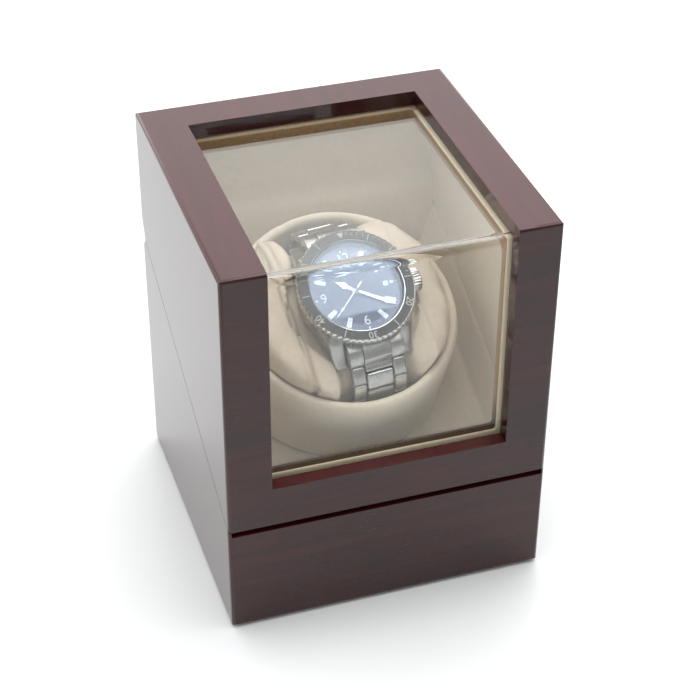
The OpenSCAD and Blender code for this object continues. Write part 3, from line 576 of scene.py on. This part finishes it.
def watch_hands():
    def at(angle, level):
        return WATCH @ about_z(-angle) @ move(0, 0, DIAL_Z + level)

    hour = at(30 * (10 + 21 / 60), 0.5)
    shape = [(-0.5, -1.0), (0.5, -1.0), (0.7, 3.8), (1.6, 4.2), (0, 8.4), (-1.6, 4.2), (-0.7, 3.8)]
    boss = lathe([(0, 0.0), (1.5, 0.0), (1.5, 0.22), (1.3, 0.3), (0.001, 0.3)], 40, hour, False)
    blade = plate(shape, 0.0, 0.2, hour, 0.07)
    piece("hour_hand_form", [blade, boss], POLISHED, "hour", ["hour_hand"])
    fill = [(-0.95, 4.8), (0.95, 4.8), (0, 7.5)]
    piece("hour_hand_fill", [plate(fill, 0.19, 0.24, hour)], LUMINOUS, "hour", ())
    minute = at(6 * 21, 0.85)
    shape = [(-0.5, -1.0), (0.5, -1.0), (0.62, 11.2), (1.15, 11.8), (0, 16.4), (-1.15, 11.8), (-0.62, 11.2)]
    fill = [(-0.36, 5.2), (0.36, 5.2), (0.42, 11.6), (0.78, 12.2), (0, 15.2), (-0.78, 12.2), (-0.42, 11.6)]
    boss = lathe([(0, 0.0), (1.3, 0.0), (1.3, 0.22), (1.1, 0.3), (0.001, 0.3)], 40, minute, False)
    blade = plate(shape, 0.0, 0.2, minute, 0.07)
    piece("minute_hand_form", [blade, boss], POLISHED, "minute", ["minute_hand"])
    piece("minute_hand_fill", [plate(fill, 0.19, 0.24, minute)], LUMINOUS, "minute", ())
    second = at(6 * 38.4, 1.25)
    shape = [(-0.28, -4.0), (0.28, -4.0), (0.14, 0), (0.10, 13.6), (-0.10, 13.6), (-0.14, 0)]
    tip = [(-0.6, 9.2), (0.6, 9.2), (0, 11.6)]
    boss = lathe([(0, -0.03), (0.95, -0.03), (0.95, 0.14), (0.7, 0.32), (0.001, 0.36)], 40, second, False)
    blade = plate(shape, 0.0, 0.1, second)
    piece("seconds_hand_form", [blade, boss], POLISHED, "seconds", ["seconds_hand"])
    piece("seconds_hand_fill", [plate(tip, 0.02, 0.13, second)], LUMINOUS, "seconds", ())


def crystal_glass():
    """Domed crystal: clear from outside, with the faint blue of its coating where it reflects."""
    mat, t = shader("coated_crystal")
    through = add(t, "BsdfTransparent", Color=rgb(0.93, 0.95, 0.98))
    smear = maths(t, "MULTIPLY", clouds(t, 60.0, 2.0), 0.03)
    shine = add(t, "BsdfGlossy", Color=rgb(0.74, 0.83, 0.97), Roughness=smear)
    rise = add(t, "Fresnel", IOR=1.55).outputs[0]
    path = add(t, "LightPath")
    soft = maths(t, "MAXIMUM", path.outputs["Is Shadow Ray"], path.outputs["Is Diffuse Ray"])
    plain = maths(t, "SUBTRACT", 1.0, soft)
    share = maths(t, "MULTIPLY", maths(t, "MULTIPLY", rise, 1.2), plain)
    mixed = add(t, "MixShader", Fac=share)
    t.links.new(through.outputs[0], mixed.inputs[1])
    t.links.new(shine.outputs[0], mixed.inputs[2])
    surface(t, mixed)
    return mat


def watch_crystal():
    def dome(r, drop=0.0):
        return 1.30 - r * r / 302 - drop

    top = [(r, dome(r)) for r in (0.001, 2, 4, 6, 8, 10, 12, 14, 15.5, 16.6, 17.2)]
    edge = [(17.6, dome(17.6) - 0.03), (17.76, dome(17.76) - 0.16), (17.78, -1.2), (17.1, -1.2)]
    under = [(r, dome(r, 1.6)) for r in (16.8, 14, 10, 6, 3, 0.001)]
    solid = lathe(top + edge + under, 128, WATCH, False)
    piece("crystal_dome", [solid], crystal_glass(), "cushion", ["watch_crystal"], 20)


def lug(x_side, y_side):
    """One lug: a bar that leaves the case wide and flat, and turns down to a narrow tip."""
    rows = []
    for i in range(15):
        t = i / 14
        y = 9.5 + 15.7 * t
        fall = fade(t, 0.25, 1.0)
        top = -3.95 - 7.4 * fall ** 1.35
        low = CASE_LOW_Z - 0.9 * fall
        outer = math.sqrt(max(0.0, 21.0 ** 2 - y * y)) if t < 0.3 else 0.0
        outer = max(outer, 18.6 - 3.3 * t)
        tip = max(0.0, (t - 0.86) / 0.14)
        top, low = top - 0.9 * tip * tip, low + 0.5 * tip * tip
        inner = 11.3
        rows.append([
            (inner + 0.25, y, top), (outer - 1.1, y, top - 0.05), (outer - 0.25, y, top - 0.75),
            (outer, y, top - 1.2), (outer - 0.1, y, low + 0.5), (outer - 0.6, y, low),
            (inner + 0.25, y, low), (inner, y, low + 0.3), (inner, y, top - 0.3)
        ])
    n = len(rows[0])
    points = [WATCH @ Vector((x * x_side, y * y_side, z)) for row in rows for x, y, z in row]
    faces = [
        [i * n + k, i * n + (k + 1) % n, (i + 1) * n + (k + 1) % n, (i + 1) * n + k]
        for i in range(len(rows) - 1) for k in range(n)
    ]
    faces += [list(range(n)), list(range((len(rows) - 1) * n, len(rows) * n))]
    return points, faces


def watch_case():
    barrel = [
        (0.001, CASE_LOW_Z), (19.8, CASE_LOW_Z), (20.7, -11.5), (21.05, -10.6), (21.15, -7.8), (21.05, -5.2),
        (20.85, -4.2), (20.5, -3.8), (18.7, -3.8), (18.7, -4.45), (0.001, -4.45)
    ]
    parts = [lathe(barrel, 160, WATCH, False)]
    parts += [lug(x, y) for x in (-1, 1) for y in (-1, 1)]
    for side in (-1, 1):
        guard = WATCH @ move(19.5, side * 5.3, CROWN_Z)
        parts.append(rounded_box((5.0, 2.0, 5.2), 0.7, guard))
    piece("case_form", parts, BRUSHED, "cushion", ["watch_case"], 32)


def watch_crown():
    """The crown: a narrow neck where the bezel turns past it, then 26 grips round the cap."""
    axis = WATCH @ move(0, 0, CROWN_Z) @ Matrix.Rotation(math.radians(90), 4, "Y")

    def grips(r, a):
        return r - GRIP_DEPTH * (0.5 + 0.5 * math.cos(26 * a)) if 4.2 < r else r

    profile = [
        (0.001, 19.4), (1.2, 19.4), (1.2, 21.6), (3.8, 21.6), (4.05, 21.85), (4.05, 22.75), (4.55, 23.05),
        (4.6, 25.9), (4.2, 26.4), (3.4, 26.7), (3.1, 26.5), (0.001, 26.5)
    ]
    turned = lathe(profile, 208, axis, False, grips)
    piece("crown_form", [turned], POLISHED, "crown", ["watch_crown"], 25)


# Bracelet path in the cushion's middle plane, from the lower lugs round under the cushion to the upper lugs
PATH_LEFT, PATH_RIGHT, PATH_LOW, PATH_R, END_R, RUN_DOWN, RUN_UP = -36.8, 33.0, -7.0, 16.0, 14.0, 9.0, 14.0
START_ANGLE = math.radians(58)
BEND = PATH_R * math.pi / 2
STRETCHES = [PATH_R * START_ANGLE, RUN_DOWN, BEND, PATH_RIGHT - PATH_LEFT - 2 * PATH_R, BEND, RUN_UP]
LINK_PITCH, LINK_COUNT = 7.1, 20
UNDER_CLASP = range(8, 12)


def path_at(s):
    """Matrix of the bracelet's middle at a distance from the lower lugs: Y through it, Z along it."""
    stretch = 0
    while stretch < 6 and s >= STRETCHES[stretch]:
        s -= STRETCHES[stretch]
        stretch += 1
    base = PATH_LOW + PATH_R
    if stretch == 0:
        a = START_ANGLE - s / PATH_R
        v, w, turn = PATH_LEFT + PATH_R * (1 - math.cos(a)), base + RUN_DOWN + PATH_R * math.sin(a), -a
    elif stretch == 1:
        v, w, turn = PATH_LEFT, base + RUN_DOWN - s, 0.0
    elif stretch == 2:
        a = s / PATH_R
        v, w, turn = PATH_LEFT + PATH_R * (1 - math.cos(a)), base - PATH_R * math.sin(a), a
    elif stretch == 3:
        v, w, turn = PATH_LEFT + PATH_R + s, PATH_LOW, math.pi / 2
    elif stretch == 4:
        a = s / PATH_R
        v, w, turn = PATH_RIGHT - PATH_R * (1 - math.sin(a)), base - PATH_R * math.cos(a), a + math.pi / 2
    elif stretch == 5:
        v, w, turn = PATH_RIGHT, base + s, math.pi
    else:
        a = s / END_R
        v, w, turn = PATH_RIGHT - END_R * (1 - math.cos(a)), base + RUN_UP + END_R * math.sin(a), math.pi + a
    return CUSHION @ move(0, v, w) @ Matrix.Rotation(turn, 4, "X")


def bracelet():
    pitch = LINK_PITCH
    outer, centre, pins = [], [], []
    for i in range(LINK_COUNT):
        s = (i + 0.5) * pitch
        if i in UNDER_CLASP:
            continue
        here = path_at(s)
        for side in (-1, 1):
            outer.append(rounded_box((5.3, 3.0, pitch - 0.3), 0.85, here @ move(side * 8.3, 0, 0), 3))
        if i < LINK_COUNT - 1:
            centre.append(rounded_box((10.9, 3.5, pitch - 0.3), 0.95, path_at(s + 3.1), 3))
        if i in (0, 12):
            centre.append(rounded_box((10.9, 3.5, 2.7), 0.5, path_at(i * pitch + 1.55)))
        pins.append(lathe([(0.001, -10.8), (0.6, -10.8), (0.6, 10.8), (0.001, 10.8)], 12,
                          path_at(s + pitch / 2) @ Matrix.Rotation(math.radians(90), 4, "Y"), False))
    centre.append(rounded_box((10.9, 3.5, 3.6), 0.5, path_at(LINK_COUNT * pitch - 2.0)))
    piece("outer_links", outer, BRUSHED, "cushion", ["bracelet_outer_links"], 40)
    piece("centre_links", centre, BRUSHED, "cushion", ["bracelet_centre_links"], 40)
    piece("link_pins", pins, POLISHED, "cushion", (), 40)
    here = path_at(LINK_COUNT / 2 * pitch)
    cover = rounded_box((22.0, 2.8, 24.6), 0.8, here, 3)
    catch = rounded_box((7.0, 1.0, 5.0), 0.3, here @ move(0, 1.3, 8.5))
    piece("clasp_cover", [cover, catch], BRUSHED, "cushion", ["bracelet_clasp"], 40)


def end_links():
    """The solid pieces that fill the space between each pair of lugs."""
    def band(x0, x1, side, grow):
        low_end = [
            (18, -4.6), (22.8, -5.0), (25.9, -7.2), (27.1, -9.6), (25.3, -12.5), (22.5, -12.3), (18, -11.6)
        ]
        high_end = [
            (18, -4.6), (22.8, -5.0), (26.8, -7.8), (28.9, -11.3), (27.3, -14.2), (24.5, -13.2), (22, -12.2),
            (18, -11.6)
        ]
        shape = low_end if side < 0 else high_end
        points, n = [], len(shape)
        for x in (x0, x1):
            for y, z in shape:
                reach = math.sqrt(21.2 ** 2 - x * x)
                y = max(y + (grow if y > 20 else 0), reach)
                points.append(Vector((x, side * y, z + (grow if y > 20 and z > -9 else 0))))
        bm = bmesh.new()
        verts = [bm.verts.new(p) for p in points]
        bm.faces.new(verts[:n])
        bm.faces.new(verts[n:][::-1])
        for i in range(n):
            j = (i + 1) % n
            bm.faces.new([verts[i], verts[j], verts[n + j], verts[n + i]])
        bmesh.ops.recalc_face_normals(bm, faces=bm.faces)
        corners = [e for e in bm.edges if e.calc_face_angle(0) > 0.5]
        bmesh.ops.bevel(bm, geom=corners, offset=0.28, segments=2, profile=0.5, affect="EDGES")
        return from_bmesh(bm, WATCH)

    parts = []
    for side in (-1, 1):
        parts += [band(-10.95, -5.6, side, 0.0), band(5.6, 10.95, side, 0.0), band(-5.5, 5.5, side, 0.35)]
    return parts


watch_bezel()
watch_dial()
watch_hands()
watch_crystal()
watch_case()
watch_crown()
bracelet()
piece("end_link_forms", end_links(), BRUSHED, "cushion", (), 35)


# ---- fabric ----

def ruffle(mesh, waves):
    """Moves each point along its normal by smooth noise; waves lists height and wavelength in mm."""
    moved = []
    for v in mesh.vertices:
        shift = sum(h * noise.noise(v.co / (l * MM) + Vector((7.1, 3.3, l))) for h, l in waves)
        moved.append(v.co + v.normal * shift * MM)
    for v, co in zip(mesh.vertices, moved):
        v.co = co
    mesh.update()


def baked(obj):
    """The object's mesh with its modifiers applied; the object itself is removed."""
    mesh = bpy.data.meshes.new_from_object(obj.evaluated_get(bpy.context.evaluated_depsgraph_get()))
    bpy.data.objects.remove(obj)
    return mesh


def joined(nodes):
    points, faces = [], []
    for node in nodes:
        mesh, start = NODES[node].data, len(points)
        points += [v.co.copy() for v in mesh.vertices]
        faces += [[i + start for i in p.vertices] for p in mesh.polygons]
    mesh = bpy.data.meshes.new("joined")
    mesh.from_pydata(points, [], faces)
    return link_object("joined", mesh)


def remeshed(obj, voxel_mm, smooth=0):
    step = obj.modifiers.new("skin", "REMESH")
    step.mode = "VOXEL"
    step.voxel_size = voxel_mm * MM
    if smooth:
        ease = obj.modifiers.new("ease", "SMOOTH")
        ease.factor = 0.5
        ease.iterations = smooth
    return baked(obj)


def wrapped(name, nodes, material, body, voxel_mm, smooth, waves):
    """Fabric glued over a board: rounded edges and the slight unevenness of the cloth."""
    mesh = remeshed(joined(nodes), voxel_mm * (1.0), smooth)
    ruffle(mesh, waves)
    obj = link_object(name, mesh)
    shade(obj, 80)
    return dress(obj, material, body, nodes)


def liners():
    waves = [(0.06, 26), (0.04, 5)]
    for side in ("left", "right", "back"):
        wrapped("liner_cloth_" + side, ["lid_liner_" + side], "suede", "lid", 0.6, 3, waves)
    wrapped("tray_cloth", ["well_tray"], "suede", "base", 0.8, 3, waves)
    trim_waves = [(0.08, 14), (0.04, 4)]
    wrapped("trim_cloth", ["window_trim"], "trim_fabric", "lid", 0.6, 3, trim_waves)


def rear_cove():
    """The padded ledge below the hinges, rolling softly forward from the back panel."""
    low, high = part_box("rear_cove")
    half_width = 57.95
    x0, x1 = min(low.x / MM, -half_width), max(high.x / MM, half_width)
    side = [
        (56.86, 121.0), (56.8, 118.0), (56.5, 116.6), (55.8, 115.6), (54.8, 114.8), (53.7, 114.0),
        (52.8, 112.9), (52.2, 111.4), (51.9, 109.6), (51.8, 107.0), (52.0, 99.0), (52.3, 92.0),
        (52.6, 84.6), (53.2, 84.2), (56.4, 84.2), (56.86, 84.8)
    ]
    points, faces, steps = [], [], 80
    n = len(side)
    for i in range(steps + 1):
        x = x0 + (x1 - x0) * i / steps
        for y, z in side:
            points.append(Vector((x, y, z)) * MM)
        if i:
            for k in range(n):
                m = (k + 1) % n
                faces.append([(i - 1) * n + k, i * n + k, i * n + m, (i - 1) * n + m])
    faces += [list(range(n)), list(range(steps * n, (steps + 1) * n))]
    obj = piece("cove_cloth", [(points, faces)], "suede", "base", ["rear_cove"], 60)
    ruffle(obj.data, [(0.12, 24), (0.05, 6)])


def corner_folds():
    """Rolled fabric edges tucked into the upright inner corners of the lid."""
    back_low, back_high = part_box("lid_liner_back")
    for side, sign in (("left", -1), ("right", 1)):
        low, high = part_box("lid_liner_" + side)
        x = (low.x if sign > 0 else high.x) / MM + sign * 0.35
        z0, z1 = max(low.z, back_low.z) / MM + 0.3, min(high.z, back_high.z) / MM - 0.3
        roll = [(0.001, z0), (0.7, z0), (0.95, z0 + 0.4), (0.95, z1 - 0.4), (0.7, z1), (0.001, z1)]
        corner = Matrix.Scale(MM, 4) @ move(x, back_low.y / MM + 0.35, 0)
        piece("corner_fold_" + side, [lathe(roll, 24, corner, False)], "suede", "lid", (), 60)


def arc(centre_r, centre_z, radius_r, radius_z, angles):
    """Points of an upright ellipse, at the given angles in degrees."""
    turns = [math.radians(a) for a in angles]
    return [(centre_r + radius_r * math.cos(a), centre_z + radius_z * math.sin(a)) for a in turns]


def drum_cloth():
    """Drum covering: up the wall, over a soft shoulder and down inside to the floor."""
    outer = [(42.8, -14.6), (44.6, -14.6), (44.85, -14.1)]
    outer += [(44.85 - 0.05 * math.sin(math.pi * i / 10), -14 + 31.0 * i / 10) for i in range(11)]
    crest_r = 42.55
    shoulder = arc(crest_r, 17.8, 2.3, 5.9, range(6, 91, 6))
    inner = arc(crest_r, 20.9, 2.15, 2.8, range(98, 186, 8))
    inner += [(40.62, 19.9), (40.55, 19.2)]
    inner += [(40.65, 18 - 27.2 * i / 8) for i in range(9)]
    inner += [
        (40.2, -9.9), (39.0, -10.15), (20.0, -10.15), (3.4, -10.15), (3.4, -10.7), (39.5, -10.8),
        (41.4, -9.5), (42.8, -9.5)
    ]
    obj = piece("drum_cloth_wrap", [lathe(outer + shoulder + inner, 200, DRUM)], "suede", "drum",
                ["drum_cover", "drum_rim", "drum_lining"], 50)
    local = DRUM.inverted()
    seam_angle, seam_r = 1.9, 44
    mesh = obj.data
    moved = []
    for v in mesh.vertices:
        p = local @ v.co
        a = math.atan2(p.y, p.x)
        r = math.hypot(p.x, p.y)
        outside = r > 41 and p.z > -14
        seam = -0.5 * math.exp(-(((a - seam_angle) * seam_r) / 0.8) ** 2) if outside else 0.0
        top = fade(p.z, 12, 20)
        pull = 0.10 * top * noise.noise(Vector((8 * math.cos(a), 8 * math.sin(a), p.z / 9)))
        soft = 0.22 * noise.noise(Vector((2.4 * math.cos(a), 2.4 * math.sin(a), p.z / 22)))
        moved.append(v.co + v.normal * (seam + pull + soft) * MM)
    for v, co in zip(mesh.vertices, moved):
        v.co = co
    mesh.update()


PILLOW_NODES = ["pillow_core", "pillow_end_pads"]
PILLOW_Y, PILLOW_Z, PILLOW_HALF_Y, PILLOW_HALF_Z = -1.8, 12.3, 32.6, 17.1


def seam_lines(y):
    """Places of the seams across the cushion: a pair left of the watch that runs together, and one right."""
    return (-25.4, -24.6 + 3.0 * fade(y, -34, 14), 25.2)


def inflated_pillow():
    """Cloth inflated from a slightly smaller block, as one closed mesh."""
    scene = bpy.context.scene
    start = remeshed(joined(PILLOW_NODES), 4.6, 2)
    local = CUSHION.inverted()
    centre = Vector((0.0, PILLOW_Y, PILLOW_Z))
    for v in start.vertices:
        p = local @ v.co
        v.co = CUSHION @ (centre + (p - centre) * 0.972)
    obj = link_object("cushion_start", start)
    rest = [v.co.copy() for v in obj.data.vertices]
    cloth = obj.modifiers.new("cloth", "CLOTH")
    cloth.settings.quality = 5
    cloth.settings.use_pressure = True
    cloth.settings.uniform_pressure_force = 4.0
    cloth.settings.effector_weights.gravity = 0.0
    last_frame = 20
    cloth.point_cache.frame_start, cloth.point_cache.frame_end = 1, last_frame
    for number in range(1, last_frame + 1):
        scene.frame_set(number)
    puffed = baked(obj)
    obj = link_object("cushion_puffed", puffed)
    scene.frame_set(1)
    most = 3.5 * MM
    for v, was in zip(obj.data.vertices, rest):
        step = v.co - was
        if step.length > most:
            step *= most / step.length
        v.co = was + step
    finer = obj.modifiers.new("finer", "SUBSURF")
    finer.levels = finer.render_levels = 1
    return remeshed(obj, 0.85, 2)


def swell(mesh):
    """Fuller corners and end pads, the strip held in by the bracelet, and the drum's wall all round."""
    local = CUSHION.inverted()
    for v in mesh.vertices:
        p = local @ v.co
        side = fade(abs(p.x), 13 - 1.5 * fade(p.y, 0, 12), 27 - 9 * fade(p.y, 0, 12))
        high = fade(p.z, 18, 29)
        edge = fade(abs(p.x), 12.5, 17) * (1 - 0.6 * fade(abs(p.x), 24, 27))
        upper = p.z > PILLOW_Z
        turn = math.atan2((p.z - PILLOW_Z) / PILLOW_HALF_Z, (p.y - PILLOW_Y) / PILLOW_HALF_Y)
        fullness = 0.16
        if upper and p.y > 0:
            fullness = 0.20 if p.x < 0 else 0.11
        corner = 1.0 + fullness * edge * math.sin(2 * turn) ** 2 * upper
        p.y, p.z = PILLOW_Y + (p.y - PILLOW_Y) * corner, PILLOW_Z + (p.z - PILLOW_Z) * corner
        # the end pads stand higher than the strip under the watch, and swell against the rim
        p.z += 3.2 * side * high * (1 - 0.5 * fade(abs(p.y), 18, 34))
        spread = 1.0 + 0.035 * side * fade(p.z, 4, 22)
        p.x, p.y = p.x * spread, p.y * (1.0 + 0.07 * side)
        if abs(p.x) < 15:
            hold = 1 - fade(abs(p.x), 11.5, 15)
            p.y = p.y * (1 - hold) + min(max(p.y, -34.7), 31.0) * hold
            p.z = p.z * (1 - hold) + max(p.z, -5.0) * hold
        if math.hypot(p.x, (p.y + 4) * 0.95) < 25:
            p.z = min(p.z, 29.5)
        r = math.hypot(p.x, p.y)
        room = 40.15 + 0.9 * fade(p.z, 22, 27)
        if r > room:
            p.x, p.y = p.x * room / r, p.y * room / r
        v.co = CUSHION @ p
    mesh.update()


def stitch(mesh):
    """Seams, the puckers and creases beside them, and a seam attribute with which the material paints shade along
    the seam lines.
    """
    local = CUSHION.inverted()
    moved, seam_shade = [], []
    for v in mesh.vertices:
        p = local @ v.co
        dip = 0.0
        left_a, left_b, right = seam_lines(p.y)
        for line, depth in ((left_a, 0.7), (left_b, 0.6), (right, 0.3)):
            dip -= depth * math.exp(-((p.x - line) / 0.75) ** 2)
        # painted shade along the seam lines, strongest on the left pair, stored as the seam attribute
        lines = ((left_a, 1.0), (left_b, 1.0), (right, 0.35))
        seam_shade.append(max(share * math.exp(-((p.x - line) / 0.55) ** 2) for line, share in lines))
        if left_a < p.x < left_b:
            gap = left_b - left_a
            dip += 0.3 * math.sin(math.pi * (p.x - left_a) / gap) * fade(gap, 0.6, 2.5)
        near_seam = math.exp(-(min(abs(p.x - left_a), abs(p.x - right)) / 5) ** 2)
        pucker = 0.16 * near_seam * noise.noise(Vector((p.x / 9, p.y / 2.6, p.z / 2.6)))
        pinch = math.exp(-((abs(p.x) - 13.5) / 4) ** 2)
        crease = 0.30 * pinch * noise.noise(Vector((p.x / 3.5, p.y / 9, p.z / 7)))
        loose = 0.35 * noise.noise(p / 17) + 0.10 * noise.noise(p / 5)
        moved.append(v.co + v.normal * (dip + pucker + crease + loose) * MM)
    for v, co in zip(mesh.vertices, moved):
        v.co = co
    mesh.update()
    mesh.attributes.new("seam", "FLOAT", "POINT").data.foreach_set("value", seam_shade)


def cushion_cloth():
    """The padded cushion with its two end pads."""
    mesh = inflated_pillow()
    swell(mesh)
    stitch(mesh)
    obj = link_object("cushion_cloth", mesh)
    shade(obj, 80)
    dress(obj, CUSHION_SUEDE, "cushion", PILLOW_NODES)


def bent_pane():
    """One sheet from the front over to the top, with a smooth round bend."""
    outer_y, outer_z, t, bend = -57.0, 154.0, 2.0, 4.4
    foot_z, rear_y, half_width = 60.3, 50.4, 52.2
    outer, inner = [(outer_y, foot_z)], [(outer_y + t, foot_z)]
    for i in range(25):
        a = math.radians(180 - 90 * i / 24)
        for run, r in ((outer, bend), (inner, bend - t)):
            run.append((outer_y + bend + r * math.cos(a), outer_z - bend + r * math.sin(a)))
    outer.append((rear_y, outer_z))
    inner.append((rear_y, outer_z - t))
    side = outer + inner[::-1]
    n = len(side)
    points = [Vector((x, y, z)) * MM for x in (-half_width, half_width) for y, z in side]
    half = len(outer)
    faces = [[k, (k + 1) % n, n + (k + 1) % n, n + k] for k in range(n)]
    for base in (0, n):
        faces += [[base + k, base + k + 1, base + n - 2 - k, base + n - 1 - k] for k in range(half - 1)]
    piece("bent_pane", [(points, faces)], "pane", "lid", ["lid_window"], 30)


liners()
rear_cove()
corner_folds()
drum_cloth()
cushion_cloth()
bent_pane()


# ---- stage ----

def white_floor():
    mat, t = shader("floor")
    surface(t, add(
        t, "BsdfPrincipled", Base_Color=rgb(0.90, 0.915, 0.92), Roughness=0.5,
        Coat_Weight=0.35, Coat_Roughness=0.12
    ))
    bpy.ops.mesh.primitive_plane_add(size=14, location=(0, 0, 0))
    floor = bpy.context.object
    floor.name = "stage_floor"
    floor.data.materials.append(mat)


def soft_world():
    """Even studio light, brightest from behind and above the box and a little from its left."""
    world = bpy.data.worlds.new("studio")
    bpy.context.scene.world = world
    world.use_nodes = True
    t = world.node_tree
    t.nodes.clear()
    side = add(t, "SeparateXYZ", Vector=add(t, "TexCoord").outputs["Generated"])
    across, along, above = (side.outputs[i] for i in range(3))
    toward = maths(t, "ADD", maths(t, "MULTIPLY", along, 0.85), maths(t, "MULTIPLY", above, 0.35))
    toward = maths(t, "SUBTRACT", toward, maths(t, "MULTIPLY", across, 0.22))
    share = maths(t, "ADD", maths(t, "MULTIPLY", toward, 0.5), 0.5)
    level = ramp(t, share, [(0.16, 0.30), (0.34, 0.62), (0.55, 0.98), (0.85, 1.78)])
    back = add(t, "Background", Color=level, Strength=1.0)
    out = add(t, "OutputWorld")
    t.links.new(back.outputs[0], out.inputs[0])


def soft_box(name, spot, target, size, power):
    light = bpy.data.lights.new(name, "AREA")
    light.shape = "RECTANGLE"
    light.size, light.size_y = size
    light.energy = power
    obj = bpy.data.objects.new(name, light)
    bpy.context.scene.collection.objects.link(obj)
    direction = Vector(target) - Vector(spot)
    obj.location = spot
    obj.rotation_euler = direction.to_track_quat("-Z", "Y").to_euler()


def camera():
    """The camera, at its angle round and above the box, a little rolled and off centre."""
    azimuth, elevation, roll = (math.radians(a) for a in (-18.48, 35.57, 0.44))
    height = CASE_HIGH.z
    distance, right_shift, up_shift = 4.652 * height, 0.0266 * height, -0.0227 * height
    back = Vector((
        math.sin(azimuth) * math.cos(elevation),
        -math.cos(azimuth) * math.cos(elevation),
        math.sin(elevation),
    ))
    right = Vector((0, 0, 1)).cross(back).normalized()
    up = back.cross(right)
    right_r = math.cos(roll) * right + math.sin(roll) * up
    up_r = -math.sin(roll) * right + math.cos(roll) * up
    data = bpy.data.cameras.new("camera")
    data.lens = 96.75
    data.sensor_width = 36.0
    data.clip_start = 0.01
    obj = bpy.data.objects.new("camera", data)
    bpy.context.scene.collection.objects.link(obj)
    spot = Vector((0, 0, height / 2)) + back * distance + right_r * right_shift + up_r * up_shift
    turn = Matrix((right_r, up_r, back)).transposed().to_4x4()
    obj.matrix_world = Matrix.Translation(spot) @ turn
    bpy.context.scene.camera = obj


white_floor()
soft_world()
soft_box("overhead", (0.22, 0.02, 1.30), (0, -0.02, 0.12), (0.80, 0.80), 6.3)
camera()
bpy.context.scene.view_settings.view_transform = "Standard"
